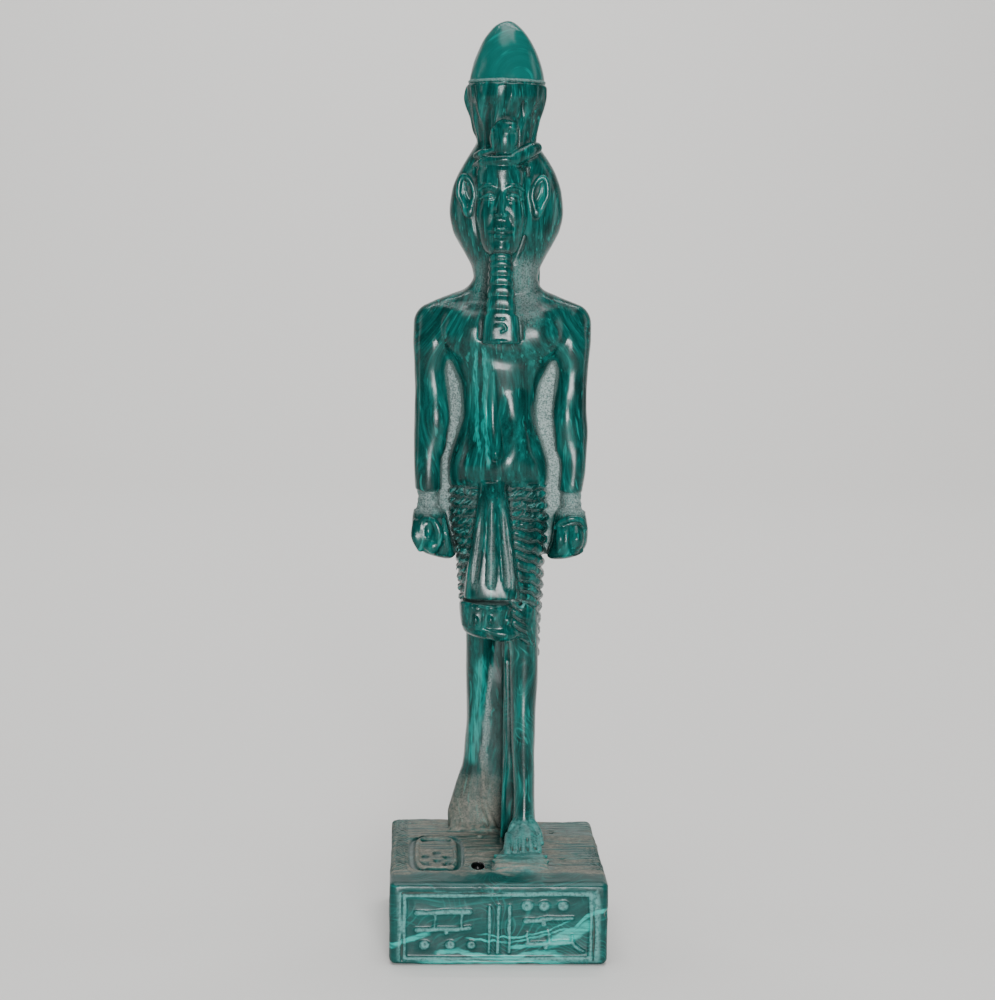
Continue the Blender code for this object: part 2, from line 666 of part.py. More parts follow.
def strand_metres(name, points, width):
    """A closed round groove cutter in metres."""
    mesh = strand(name, [Vector(point) / UNIT for point in points], [width / UNIT / 2] * len(points), closed=True)
    mesh.transform(Matrix.Scale(UNIT, 4))
    return mesh


def pit():
    """A round bubble in the plinth's top."""
    shape = bmesh.new()
    place = Matrix.Translation((-PIT_OFFSET, -PLINTH_DEPTH / 2 + PIT_INSET, PLINTH_HEIGHT))
    bmesh.ops.create_uvsphere(shape, u_segments=10, v_segments=6, radius=PIT_RADIUS, matrix=place)
    return mesh_of("pit", shape)


def stand_on_plinth(thing):
    """Takes a form of the figure from its units to metres, and sets it on the plinth's top."""
    thing.data.transform(Matrix.Scale(UNIT, 4))
    turn = Matrix.Rotation(FIGURE_TURN, 4, "Z")
    foot = Vector((FIGURE_SHIFT, 0.0, PLINTH_HEIGHT))
    thing.location = turn @ (Vector(thing.location) * UNIT) + foot
    thing.rotation_euler = (0.0, 0.0, FIGURE_TURN)


def boolean(thing, name, operation, collection):
    modifier = thing.modifiers.new(name, "BOOLEAN")
    modifier.operation = operation
    modifier.operand_type = "COLLECTION"
    modifier.collection = collection
    modifier.solver = "EXACT"


def build():
    for thing in list(bpy.data.objects):
        bpy.data.objects.remove(thing)
    parts = new_collection("osiris_statue")
    forms = new_collection("forms")
    cutters = new_collection("cutters")
    raised = new_collection("strokes")
    for mesh in figure_meshes():
        stand_on_plinth(helper(mesh.name, mesh, forms))
    stand_on_plinth(dome(forms))
    for mesh in strokes():
        helper(mesh.name, mesh, raised)
    for mesh in flute_cutters():
        stand_on_plinth(helper(mesh.name, mesh, cutters))
    for mesh in panel_fields() + ring_cutters() + [pit()]:
        helper(mesh.name, mesh, cutters)
    statue = bpy.data.objects.new("statue", plinth_mesh())
    parts.objects.link(statue)
    statue.data.materials.append(malachite())
    boolean(statue, "join", "UNION", forms)
    boolean(statue, "carve", "DIFFERENCE", cutters)
    boolean(statue, "inscribe", "UNION", raised)


build()
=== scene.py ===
"""The looks of a small pressed-malachite king who strides on a plinth, carved as one fine mesh.

Heights of the figure are over the plinth's top, across is from the plinth's middle towards +X and back
towards +Y, all in units of a millimetre at the real size. The figure looks towards -Y, and its own right
side is at -X; its forms are given along its own axes, which are turned and shifted a little on the plinth.
The surface is the zero of a field of distances, in which every form is a short function.
"""

import json
import math

import bpy
import numpy as np
from mathutils import Euler, Matrix, Vector

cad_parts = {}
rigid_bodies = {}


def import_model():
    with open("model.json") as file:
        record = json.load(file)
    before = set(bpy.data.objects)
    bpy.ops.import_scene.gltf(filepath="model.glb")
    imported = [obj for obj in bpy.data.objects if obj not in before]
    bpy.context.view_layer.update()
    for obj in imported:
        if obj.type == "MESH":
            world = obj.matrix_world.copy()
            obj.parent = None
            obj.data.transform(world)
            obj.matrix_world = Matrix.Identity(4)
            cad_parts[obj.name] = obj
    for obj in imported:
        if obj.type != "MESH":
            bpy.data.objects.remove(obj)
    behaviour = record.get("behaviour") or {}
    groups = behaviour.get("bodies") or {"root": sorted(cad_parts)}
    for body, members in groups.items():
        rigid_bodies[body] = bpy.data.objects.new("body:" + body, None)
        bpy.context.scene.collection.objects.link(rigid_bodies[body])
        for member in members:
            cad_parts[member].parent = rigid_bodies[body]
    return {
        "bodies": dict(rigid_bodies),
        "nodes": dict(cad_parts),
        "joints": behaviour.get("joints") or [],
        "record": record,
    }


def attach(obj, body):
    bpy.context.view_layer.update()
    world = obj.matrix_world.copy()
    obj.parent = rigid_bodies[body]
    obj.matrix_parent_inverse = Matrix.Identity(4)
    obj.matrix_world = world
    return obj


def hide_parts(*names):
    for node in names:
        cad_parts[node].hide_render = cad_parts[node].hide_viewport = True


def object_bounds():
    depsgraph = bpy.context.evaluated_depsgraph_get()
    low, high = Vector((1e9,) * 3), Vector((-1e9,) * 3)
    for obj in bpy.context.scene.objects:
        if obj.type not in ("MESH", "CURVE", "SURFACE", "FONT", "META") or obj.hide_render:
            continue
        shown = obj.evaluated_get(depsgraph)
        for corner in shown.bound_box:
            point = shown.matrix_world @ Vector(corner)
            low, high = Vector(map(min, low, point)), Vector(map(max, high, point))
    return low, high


FIGURE_TURN = math.radians(-2.1)  # of the figure on the plinth, seen from above
FIGURE_SHIFT = 0.9  # of the figure's middle from the plinth's, towards +X
TURN_REACH = 2.4  # more than turn and shift move any point of the figure
FACE_MIDDLE = -1.5
BUBBLE = (-5.1, -18.6)  # the round hollow in the plinth's top: across, back
CORNERS = tuple(np.ndindex(2, 2, 2))  # of a cell of the grid
PLINTH = 22.5  # the plinth's height
HALF_WIDTH = 28.0
HALF_DEPTH = 31.0
TOTAL_HEIGHT = 242.0
FAR = 3.0  # distances past this aren't kept
TRIANGLES = 196000

# The figure's upright forms: height, across, back, half width, half depth, squareness
TORSO = (
    (95, -1.4, 12.5, 11.8, 8, 2.4), (97, -1.4, 12, 13, 9.4, 2.4), (99.5, -1.4, 11.6, 13.6, 10.6, 2.4),
    (103, -1.4, 11.3, 13.4, 11, 2.4), (107, -1.5, 11.4, 12.5, 10.8, 2.3), (112, -1.5, 11.8, 11, 9.9, 2.3),
    (117, -1.5, 12.1, 10.1, 9.2, 2.3), (123, -1.3, 12, 10.7, 9.4, 2.3), (129, -1.1, 11.8, 13, 10, 2.4),
    (134, -1, 11.7, 16, 10.6, 2.6), (139, -0.9, 12, 18.5, 10.6, 2.8), (143.5, -0.9, 12.6, 18.6, 9.4, 2.8),
    (146.5, -0.8, 13.2, 15.5, 8, 2.6), (149.5, -0.5, 13.4, 10.4, 7.6, 2.3), (152.5, -0.2, 13, 8.2, 7.8, 2.2),
)
RIGHT_ARM = (
    (89.6, -19.9, 9, 2.8, 3.6, 2.2), (95.4, -20, 9.2, 3, 3.9, 2.2), (96.2, -20.1, 9.4, 3.6, 4.6, 2.4),
    (102, -20.3, 9.8, 3.7, 4.9, 2.4), (110, -19.9, 10.6, 4.3, 5.4, 2.4), (116, -19.4, 11, 4.7, 5.6, 2.5),
    (122, -19.4, 11.2, 4.6, 5.6, 2.4), (130, -20, 11.5, 4.3, 5.8, 2.3), (136, -20.1, 11.8, 4.4, 6, 2.3),
    (141, -18.9, 12, 4.2, 5.2, 2.2),
)
LEFT_ARM = (
    (89.6, 18.2, 9, 2.5, 3.6, 2.2), (95.4, 18.2, 9.2, 2.7, 3.9, 2.2), (96.2, 18.1, 9.4, 3.2, 4.6, 2.4),
    (102, 18.6, 9.8, 3.5, 4.9, 2.4), (110, 18.6, 10.6, 3.9, 5.4, 2.4), (118, 17.6, 11, 4.5, 5.6, 2.5),
    (124, 17.7, 11.2, 4.4, 5.6, 2.4), (131, 18.4, 11.5, 4.1, 5.8, 2.3), (136, 18.5, 11.8, 4.3, 6, 2.3),
    (141, 17.4, 12, 4.2, 5.2, 2.2),
)
FRONT_LEG = (
    (-1.2, 6.6, 0.8, 3.2, 5, 2.1), (6, 6.6, 0.9, 3.1, 5, 2.1), (12, 6.6, 1.3, 2.9, 4.6, 2.1),
    (20, 6.4, 1.9, 3, 4.5, 2.1), (28, 6.1, 2.6, 3.15, 4.7, 2.1), (36, 6.1, 3.4, 3.4, 5, 2.1),
    (44, 6.1, 4.1, 3.75, 5.2, 2.2), (52, 6, 4.4, 3.85, 5.4, 2.2), (58, 5.6, 4, 4.3, 6, 2.2),
    (66, 5, 3.4, 4.6, 6.4, 2.2),
)
REAR_LEG = (
    (-1.2, -7, 23, 7.3, 5.2, 2.3), (1.2, -7, 23.1, 7.2, 5.1, 2.3), (4, -7.6, 23.4, 6.7, 4.7, 2.3),
    (8, -8.3, 23.6, 5, 4.4, 2.2), (12, -8.1, 23.7, 4.1, 4.3, 2.2), (18, -7.3, 23.8, 3.1, 4.3, 2.2),
    (28, -6.7, 23.6, 2.8, 4.6, 2.2), (38, -6.1, 23, 3.4, 5, 2.2), (48, -5.8, 22.4, 3.9, 5.4, 2.2),
    (62, -5.4, 21, 4.4, 6, 2.2),
)
HEADDRESS = (
    (149, -0.1, 12.4, 8.6, 8, 2.1), (152, -0.1, 12, 8.6, 8.2, 2.1), (155, -0.1, 11.7, 9.1, 8.6, 2),
    (158.3, -0.1, 11.5, 10.7, 9.4, 2), (161.5, -0.1, 11.4, 12.5, 10.2, 2), (165, -0.1, 11.3, 14.2, 10.9, 2),
    (170, -0.1, 11.3, 15.15, 11.2, 2), (175, -0.1, 11.2, 14.6, 11, 2), (179.5, -0.1, 11, 13.1, 10.4, 2),
    (183.4, -0.1, 10.8, 11, 9.6, 2), (187, -0.2, 10.6, 8.6, 8.4, 2), (189, -0.3, 10.5, 7.4, 7.2, 2),
)
HEAD = (
    (157.4, -1.2, 3, 2.4, 4.2, 2.2), (159.6, -1.3, 2.8, 4.5, 5.8, 2.2), (163.5, -1.4, 2.9, 5.9, 6.5, 2.2),
    (168.5, -1.5, 3.2, 6.5, 6.9, 2.2), (173.5, -1.5, 3.6, 6.7, 7.2, 2.2), (178.5, -1.5, 4.2, 6.6, 7.2, 2.2),
    (184.5, -1.4, 5, 6.2, 7, 2.2),
)
APRON = (
    (68.4, -2.6, -0.6, 7.6, 6.6, 4), (74, -2.7, -0.4, 6.9, 6.4, 4), (84, -2.7, 0.6, 5.4, 5.8, 4),
    (94, -2.7, 2.2, 4.2, 4.8, 3.6), (99, -2.7, 3.6, 3.8, 4.2, 3),
)
HEM_BLOCK = (
    (57.2, -2, 2.6, 4.6, 6.6, 3), (59.6, -3.6, 1.4, 6.6, 7.8, 3.4), (62, -4, 0.6, 6.9, 8.1, 3.6),
    (66.6, -4.2, 0.5, 7, 8, 3.6), (67.6, -4.2, 0.8, 6.6, 7.4, 3.6),
)
RIGHT_FIST = (
    (77.6, -14.6, 7.4, 2.2, 4, 2.6), (79.4, -16.8, 7.2, 4.4, 5.4, 2.8), (82.6, -18.6, 7.2, 5.2, 5.9, 2.8),
    (86, -19.4, 7.4, 4.9, 5.8, 2.8), (89.4, -19.8, 7.8, 4.3, 5, 2.6), (91.6, -19.9, 8.4, 3.3, 4.1, 2.2),
)
LEFT_FIST = (
    (77.8, 14.6, 7.4, 3.2, 4.4, 2.6), (79.6, 16.6, 7.2, 4.6, 5.4, 2.8), (82.6, 17.9, 7.2, 4.8, 5.9, 2.8),
    (86, 18.2, 7.4, 4.6, 5.8, 2.8), (89.4, 18.2, 7.8, 4, 5, 2.6), (91.6, 18.2, 8.4, 3.1, 4.1, 2.2),
)
KILT = (
    (48, 0.4, 9.4, 9, 13.2, 2.6), (58, 0.1, 9.6, 9.7, 14, 2.6), (68, -0.4, 10, 10.7, 13.2, 2.6),
    (78, -0.6, 10.6, 11.3, 12.4, 2.6), (90, -1.2, 11.2, 12.5, 11, 2.5), (98.5, -1.4, 11.6, 12.9, 9.8, 2.4),
)
# The front foot's sections run forwards: back, across, height, half width, half height, squareness
FRONT_FOOT = (
    (-11, 6, 1, 4.7, 3, 2.6), (-7.4, 6.2, 1.8, 4.6, 4.2, 2.4), (-3.6, 6.4, 2.8, 4, 5.2, 2.2),
    (0, 6.6, 3.4, 3.6, 5.8, 2.2), (4, 6.6, 3, 3.3, 5, 2.2), (7.4, 6.6, 2, 2.8, 3.4, 2.2),
)
FOOT_PAD = (
    (-23.4, 5.6, -0.6, 5.6, 0.9, 3), (-20.6, 5.8, -0.6, 7.2, 1.8, 3), (-15, 5.8, -0.6, 7, 2.8, 3),
    (-6, 6.2, -0.6, 5.6, 3, 3), (3.6, 6.6, -0.6, 4.4, 2.4, 3),
)
BASKET = (
    (185, 7.6), (189, 8.1), (193, 9.2), (197, 10.3), (200, 11), (202, 10.9), (203.8, 9.9),
)
# The apron's dished flutes: across at the top and at the foot, half width, lowest height, dust
FLUTES = (
    (-5.3, -7.4, 1.55, 73.2, 0.16),
    (-2.9, -2.9, 1.6, 72.6, 0.22),
    (-0.6, 1.9, 1.6, 72, 0.24),
)
# Dusty places of the figure: low corner, high corner, how much, and how softly they end
DUSTY = (
    ((-17.5, 8, 90), (-10.5, 15, 138), 0.66, 2),
    ((8.6, 8, 90), (16.6, 15, 138), 0.95, 2),
    ((-4.6, 19.4, 6), (1.2, 24, 56), 0.07, 2),
    ((-16, 14, 0), (1, 26, 9.5), 0.66, 2.5),
    ((-13, 14, 6), (1, 26, 15), 0.40, 4),
    ((2.4, 1, 138), (8.2, 14, 157), 0.34, 5),
    ((-9, 2, 139), (-4, 14, 157), 0.14, 6),
    ((-24, 2, 90), (-15.5, 16, 95.4), 0.45, 2),
    ((14, 2, 90), (22.5, 16, 95.4), 0.55, 2),
    ((-12, -2, 203.4), (12, 22, 204), 0.32, 0.4),
)
CROWN_ACROSS = -0.45
CROWN_BACK = 10.0
BASKET_FLUTES = 16
PLEAT_TOP = 97.0
PLEAT_PITCH = 2.55
PLEAT_COUNT = 15
DROOP_RIGHT = (0, 1.2)  # of a pleat at the waist and at the hem, on the figure's right side
DROOP_LEFT = (0.5, 8.5)
DROOP_START = math.radians(18)
DROOP_END = math.radians(84)


def smooth_rows(rows, at):
    """Every column of a table at the places given, on curves that don't overshoot its rows."""
    rows = np.array(rows, float)
    places, values = rows[:, 0], rows[:, 1:]
    step = np.diff(places)[:, None]
    slope = np.diff(values, axis=0) / step
    tangent = np.zeros_like(values)
    product = slope[:-1] * slope[1:]
    total = slope[:-1] + slope[1:]
    tangent[1:-1] = np.where(product > 0, 2 * product / np.where(product > 0, total, 1), 0)
    tangent[0], tangent[-1] = slope[0], slope[-1]
    at = np.asarray(at, float)
    row = np.clip(np.searchsorted(places, at) - 1, 0, len(places) - 2)
    t = np.clip((at - places[row]) / step[row, 0], 0, 1)
    rise = t * t * (3 - 2 * t)
    out = []
    for k in range(values.shape[1]):
        curve = values[row, k] * (1 - rise) + values[row + 1, k] * rise
        curve += step[row, 0] * (t * (1 - t) ** 2 * tangent[row, k] - t * t * (1 - t) * tangent[row + 1, k])
        out.append(curve)
    return out


def smooth_less(a, b, blend):
    """The lesser of two fields, rounded where they come within the blend of each other."""
    near = np.maximum(blend - np.abs(a - b), 0)
    return np.minimum(a, b) - near * near / (4 * blend)


def smooth_more(a, b, blend):
    return -smooth_less(-a, -b, blend)


def smooth_step(low, high, value):
    t = np.clip((value - low) / (high - low), 0, 1)
    return t * t * (3 - 2 * t)


def waves(x, y, z, size, seed, count=5):
    """A soft uneven field between about -1 and 1, with swells of about this size."""
    draw = np.random.default_rng(seed)
    total = 0.0
    for _ in range(count):
        way = draw.normal(size=3)
        way *= math.tau / size * (0.7 + 0.6 * draw.random()) / np.linalg.norm(way)
        total = total + np.sin(way[0] * x + way[1] * y + way[2] * z + draw.random() * math.tau)
    return total / math.sqrt(count)


def section(x, y, across, back, wide, deep, square):
    """About how far a point is outside a superellipse."""
    u = np.abs(x - across) / wide
    v = np.abs(y - back) / deep
    q = (u**square + v**square) ** (1 / square) + 1e-6
    slope = np.sqrt(((u / q) ** (square - 1) / wide) ** 2 + ((v / q) ** (square - 1) / deep) ** 2)
    return (q - 1) / np.maximum(slope, 1e-3)


def on_front(rows, places):
    """Points on an upright form's front, at places given as (across, height)."""
    points = []
    for x, z in places:
        across, back, wide, deep, square = smooth_rows(rows, z)
        share = min(abs(x - across) / wide, 0.99)
        points.append((x, back - deep * (1 - share**square) ** (1 / square), z))
    return points


def to_side(middle, side, *places):
    """Points whose first numbers count from the middle towards one side."""
    return [(middle + side * x, y, z) for x, y, z in places]


def angles(count):
    """Angles of a full turn."""
    return np.linspace(0, math.tau, count, endpoint=False)


def column(rows, cap=1.6):
    """An upright form through the table's sections, with rounded ends."""
    height, across, back, wide, deep, _ = np.array(rows, float).T
    low = (across - wide).min(), (back - deep).min(), height[0]
    high = (across + wide).max(), (back + deep).max(), height[-1]

    def distance(x, y, z):
        ends = np.maximum(low[2] - z, z - high[2])
        return smooth_more(section(x, y, *smooth_rows(rows, z)), ends, cap)

    return low, high, distance


def lengthwise(rows):
    """The same along Y: the table's heights are its places back, and its backs its heights."""
    (x0, z0, y0), (x1, z1, y1), along = column(rows)
    return (x0, y0, z0), (x1, y1, z1), lambda x, y, z: along(x, z, y)


def ball(centre, radii, lean=(0, 0, 0)):
    turn = np.array(Euler([math.radians(angle) for angle in lean]).to_matrix())
    centre = np.array(centre, float)
    radii = np.array(radii, float)
    reach = np.sqrt(((turn * radii) ** 2).sum(axis=1))

    def distance(x, y, z):
        u, v, w = x - centre[0], y - centre[1], z - centre[2]
        q = 0.0
        slope = 0.0
        for k in range(3):
            a = (turn[0, k] * u + turn[1, k] * v + turn[2, k] * w) / radii[k]
            q = q + a * a
            slope = slope + (a / radii[k]) ** 2
        q = np.sqrt(q)
        return q * (q - 1) / np.maximum(np.sqrt(slope), 1e-4)

    return centre - reach, centre + reach, distance


def curve_through(points, radii, closed, fine):
    """Points and radii on a smooth curve through those given."""
    keys = np.column_stack([np.array(points, float), np.array(radii, float)])
    count = len(keys)
    spans = count if closed else count - 1
    out = []
    for i in range(spans):
        picks = [i - 1, i, i + 1, i + 2]
        picks = [p % count for p in picks] if closed else [min(max(p, 0), count - 1) for p in picks]
        a, b, c, d = keys[picks]
        for t in np.arange(fine) / fine:
            line = 2 * b + (c - a) * t
            out.append(0.5 * (line + (2 * a - 5 * b + 4 * c - d) * t**2 + (3 * b - a - 3 * c + d) * t**3))
    out.append(out[0] if closed else keys[-1])
    return np.array(out)


def tube(points, radii, closed=False, fine=4, flat=1):
    """A round strand through the points. Flat above 1 makes it thinner front to back."""
    if np.ndim(radii) == 0:
        radii = [radii] * len(points)
    path = curve_through(points, radii, closed, fine)
    reach = path[:, 3].max()
    low = path[:, :3].min(axis=0) - reach
    high = path[:, :3].max(axis=0) + reach

    def distance(x, y, z):
        best = None
        for a, b in zip(path, path[1:]):
            way = (b - a)[:3] * (1, flat, 1)
            u, v, w = x - a[0], (y - a[1]) * flat, z - a[2]
            t = np.clip((u * way[0] + v * way[1] + w * way[2]) / max(way @ way, 1e-9), 0, 1)
            reach_here = a[3] + t * (b[3] - a[3])
            d = np.sqrt((u - t * way[0]) ** 2 + (v - t * way[1]) ** 2 + (w - t * way[2]) ** 2) - reach_here
            best = d if best is None else np.minimum(best, d)
        return best

    return low, high, distance


def box(low, high, rounding=0.4):
    middle = (np.array(low, float) + np.array(high, float)) / 2
    half = (np.array(high, float) - np.array(low, float)) / 2 - rounding

    def distance(x, y, z):
        u, v, w = (np.abs(p - m) - h for p, m, h in zip((x, y, z), middle, half))
        outside = np.sqrt(np.maximum(u, 0) ** 2 + np.maximum(v, 0) ** 2 + np.maximum(w, 0) ** 2)
        return outside + np.minimum(np.maximum(np.maximum(u, v), w), 0) - rounding

    return low, high, distance


def along_figure(x, y, z):
    """The same places along the figure's own axes."""
    c, s = math.cos(FIGURE_TURN), math.sin(FIGURE_TURN)
    x = x - FIGURE_SHIFT
    return x * c + y * s, y * c - x * s, z


class Field:
    """Distances to the surface on a grid of uneven steps: below zero is inside."""

    def __init__(self, axes):
        self.axes = axes
        self.values = np.full([len(axis) for axis in axes], FAR, np.float32)
        self.turned = False  # whether the forms are given along the figure's axes

    def window(self, low, high, margin):
        spans = []
        for axis, a, b in zip(self.axes, low, high):
            first, last = np.searchsorted(axis, (a - margin, b + margin))
            spans.append(slice(max(first - 1, 0), min(last + 1, len(axis))))
        return tuple(spans)

    def places(self, spans):
        x, y, z = np.ix_(*(axis[span] for axis, span in zip(self.axes, spans)))
        return along_figure(x, y, z) if self.turned else (x, y, z)

    def mix(self, form, rule, margin):
        low, high, distance = form
        spans = self.window(low, high, margin + TURN_REACH * self.turned)
        if min(span.stop - span.start for span in spans) > 0:
            found = np.clip(distance(*self.places(spans)), -FAR, FAR)
            self.values[spans] = rule(self.values[spans], found)

    def join(self, form, blend):
        self.mix(form, lambda a, b: smooth_less(a, b, blend), FAR)

    def carve(self, form, blend):
        self.mix(form, lambda a, b: smooth_more(a, -b, blend), 1.0 + blend)

    def shift(self, low, high, amount):
        """Moves the surface outwards by amount(x, y, z) inside a window."""
        spans = self.window(low, high, 0)
        values = self.values[spans]
        moved = values - amount(*self.places(spans))
        self.values[spans] = np.where(np.abs(values) < 0.98 * FAR, moved, values)

    def sample(self, points):
        """Distances at points, straight between the grid's."""
        cells, shares = [], []
        for axis, place in zip(self.axes, points.T):
            cell = np.clip(np.searchsorted(axis, place) - 1, 0, len(axis) - 2)
            cells.append(cell)
            shares.append(np.clip((place - axis[cell]) / (axis[cell + 1] - axis[cell]), 0, 1))
        total = 0.0
        for i, j, k in CORNERS:
            weight = np.abs(1 - i - shares[0]) * np.abs(1 - j - shares[1]) * np.abs(1 - k - shares[2])
            total = total + weight * self.values[cells[0] + i, cells[1] + j, cells[2] + k]
        return total

    def slope(self, points, step=0.15):
        """The way out of the surface at points, and how fast the field grows along it."""
        ways = []
        for offset in step * np.eye(3):
            ways.append((self.sample(points + offset) - self.sample(points - offset)) / (2 * step))
        way = np.column_stack(ways)
        size = np.maximum(np.linalg.norm(way, axis=1), 1e-3)
        return way / size[:, None], size


def body(field):
    """Torso, pillar, webs and arms."""
    field.join(box((-8.6, 19, -1.2), (9.2, 28.4, 181.5), 1), 0.6)
    field.join(ball((0.3, 22, 179), (8.6, 5.4, 8)), 1.5)
    field.join(column(TORSO), 0.8)
    for across in (-8.6, 6.8):
        field.join(ball((across, 4.3, 137.6), (7.4, 3.6, 6.2)), 3)
    field.join(ball((-1.5, 3.4, 103.4), (8.6, 3.4, 5.6)), 3)
    field.join(box((-19, 10.6, 78.4), (17.6, 15.2, 140), 0.5), 0.9)
    field.join(column(RIGHT_ARM, cap=2.4), 0.5)
    field.join(column(LEFT_ARM, cap=2.4), 0.5)
    field.join(tube([(-18.9, 12, 140.2), (-13, 12.6, 143.4), (-8, 12.8, 145)], [5.6, 4.9, 4.6]), 1.6)
    field.join(tube([(17.4, 12, 140.5), (12.2, 12.6, 143.2), (7.4, 12.8, 145)], [5.5, 4.9, 4.6]), 1.6)
    for side, across in ((-1, -19.2), (1, 17.6)):
        field.join(ball((across - side * 0.6, 10.4, 135), (4.6, 5.6, 7)), 2.6)
        elbow = to_side(across, side, (-1, 8.8, 121), (-1.2, 7.8, 115), (-1, 8.4, 108))
        field.join(tube(elbow, [2.4, 3.2, 2.6]), 2)
    bank = [(2, 7.2, 119.5), (2.3, 6.4, 114), (2.5, 5.1, 109.2), (1.8, 3.9, 105), (0, 3.6, 102.6),
            (-1.6, 3.8, 101)]
    field.join(tube(bank, [4.6, 4.8, 5, 4.8, 4.4, 4.2]), 1.5)
    groove = [(-3, 1.9, 127.2), (-3.1, 2.5, 121), (-2.9, 2, 115), (-2.5, 0.7, 110), (-2, -1.2, 106.4)]
    field.carve(tube(groove, [0.6, 1.4, 1.8, 2, 2.1]), 0.5)
    field.join(tube([(-3.1, 1, 104.9), (-2, 0.6, 104.3), (-0.9, 1, 105.1), (-1.4, 1.2, 106.6)], 0.4), 0.4)
    field.carve(ball((-2, 0.2, 106), (0.8, 1.2, 0.9)), 0.3)
    fold = [(-8.5, -0.8, 132.2), (-4.6, -0.6, 131.2), (-0.6, -0.8, 130.6), (4, -0.6, 130), (8, -0.8, 131)]
    field.carve(tube(fold, 2), 1.8)
    belt = [(-13.4, 2, 97.2), (-7.6, -0.8, 97.6), (-1.4, -1.6, 97.8), (5, -0.8, 97.6), (11, 2, 97.2)]
    field.carve(tube(belt, 0.55), 0.5)


def stipple(low, high, depth, seed, size=1.1):
    """What a rough, picked surface adds inside a window."""

    def amount(x, y, z):
        inside = 1.0
        for place, a, b in zip((x, y, z), low, high):
            inside = inside * smooth_step(a, a + 1, place) * smooth_step(-b, 1.0 - b, -place)
        return depth * inside * waves(x, y, z, size, seed, 6)

    return low, high, amount


def webs(field):
    """The rough ground between arms and body."""
    for low, high in (((-17.6, 9, 92), (-10, 12.5, 136)), ((8.6, 9, 92), (16.4, 12.5, 136))):
        field.shift(*stipple(low, high, 0.16, 5, 1.6))


def legs(field):
    field.join(box((-6.4, 20.2, -1.2), (0.6, 22.6, 60), 0.6), 0.8)
    field.join(box((0.8, 5, -1.2), (8.4, 22, 60), 0.6), 0.8)
    field.join(column(REAR_LEG), 0.3)
    field.join(column(FRONT_LEG), 1.2)
    edge = [(-3.3, 18.9, 50), (-4.4, 19.6, 34), (-5, 20, 20), (-4.4, 19.6, 9), (-1.9, 18.8, 2.4)]
    field.join(tube(edge, [0.6, 0.6, 0.7, 0.8, 1]), 0.8)
    field.join(tube([(1.4, 4.8, 50), (1.9, 4.6, 30), (1.2, 4.6, 16), (0.8, 4.6, 2)], 0.5), 0.5)
    field.join(tube([(-13.4, 18, 0.3), (-10, 17.3, 0.4), (-4, 17.1, 0.4), (-0.4, 17.8, 0.3)], 0.6), 1.2)
    for i in range(5):
        field.join(tube([(-12.4 + 2.6 * i, 20, 2.4), (-12.7 + 2.75 * i, 18, 0.9)], [0.9, 1]), 0.7)


def front_foot(field):
    field.join(lengthwise(FOOT_PAD), 0.5)
    field.join(lengthwise(FRONT_FOOT), 1)
    field.join(tube([(2.6, -5, 5), (4.4, -2, 7.6), (8, -1.6, 8), (10.4, -3.6, 5.6), (11.4, -7.4, 3.4)],
                    [0.6, 1.1, 1.2, 1, 0.7]), 0.5)
    for i in range(5):
        across = 2.5 + 2.02 * i
        size = 1.3 - 0.1 * i
        tip = -13.2 + 0.8 * i
        field.join(tube([(across, -6, 5.2 - 0.35 * i), (across, -10, 3.6 - 0.2 * i), (across, tip, 2.2)],
                        [0.7 * size, 0.9 * size, size]), 0.25)
        reach = 0.45 * size
        nail = [(across - reach, tip - 0.7, 3.5), (across + reach, tip - 0.7, 3.5)]
        field.carve(tube(nail, 0.3), 0.2)
        if i < 4:
            gap = [(across + 1, -8.6, 5.4 - 0.3 * i), (across + 1, -10.8, 4.3 - 0.2 * i),
                   (across + 1, tip + 0.4, 2.7)]
            field.carve(tube(gap, 0.30), 0.5)
    for back, height, half in ((-15.6, 1.6, 6.6), (-18.4, 1.1, 7), (-21.2, 0.6, 6.4)):
        step = [(5.8 - half, back + 1.6, height), (5.8, back, height + 0.2), (5.8 + half, back + 1.8, height)]
        field.join(tube(step, [0.5, 0.7, 0.5]), 0.5)


def kilt(field):
    """Pleats that hang away from the apron, with steeper and longer ones on the figure's left."""
    table = np.array(KILT)
    length = PLEAT_PITCH * PLEAT_COUNT
    low = (-14.8, -5.6, 47)
    high = (12.9, 24.6, 99)

    def distance(x, y, z):
        across, back, wide, deep, square = smooth_rows(table, z)
        u = x - across
        from_front = np.arctan2(np.abs(u) / wide, (back - y) / deep)
        side = np.clip((from_front - DROOP_START) / (DROOP_END - DROOP_START), 0, 1)
        waist = np.where(u > 0, DROOP_LEFT[0], DROOP_RIGHT[0])
        hem = np.where(u > 0, DROOP_LEFT[1], DROOP_RIGHT[1])
        more = side * (hem - waist) / length
        start = (z + side * waist + more * PLEAT_TOP) / (1 + more)
        fold = (PLEAT_TOP - start) / PLEAT_PITCH + 0.10 * waves(x, y, z, 6, 11)
        crest = np.abs(np.sin(math.pi * fold)) ** 0.8
        picked = smooth_step(0.3, 0.9, np.sin(2.5 * x - 2.2 * z + 1.4 * waves(x, y, z, 3, 12)))
        rough = np.where(u < 0, 0.50, 0.10 + 0.35 * smooth_step(86, 91, z))
        rise = 1.25 * crest * (1 - rough * picked) + 0.07 * waves(x, y, z, 1.4, 13) - 0.45
        cut = np.maximum(PLEAT_TOP - length - start, z - 98)
        return smooth_more(section(x, y, across, back, wide, deep, square) - rise, cut, 0.8)

    field.join((low, high, distance), 0.3)


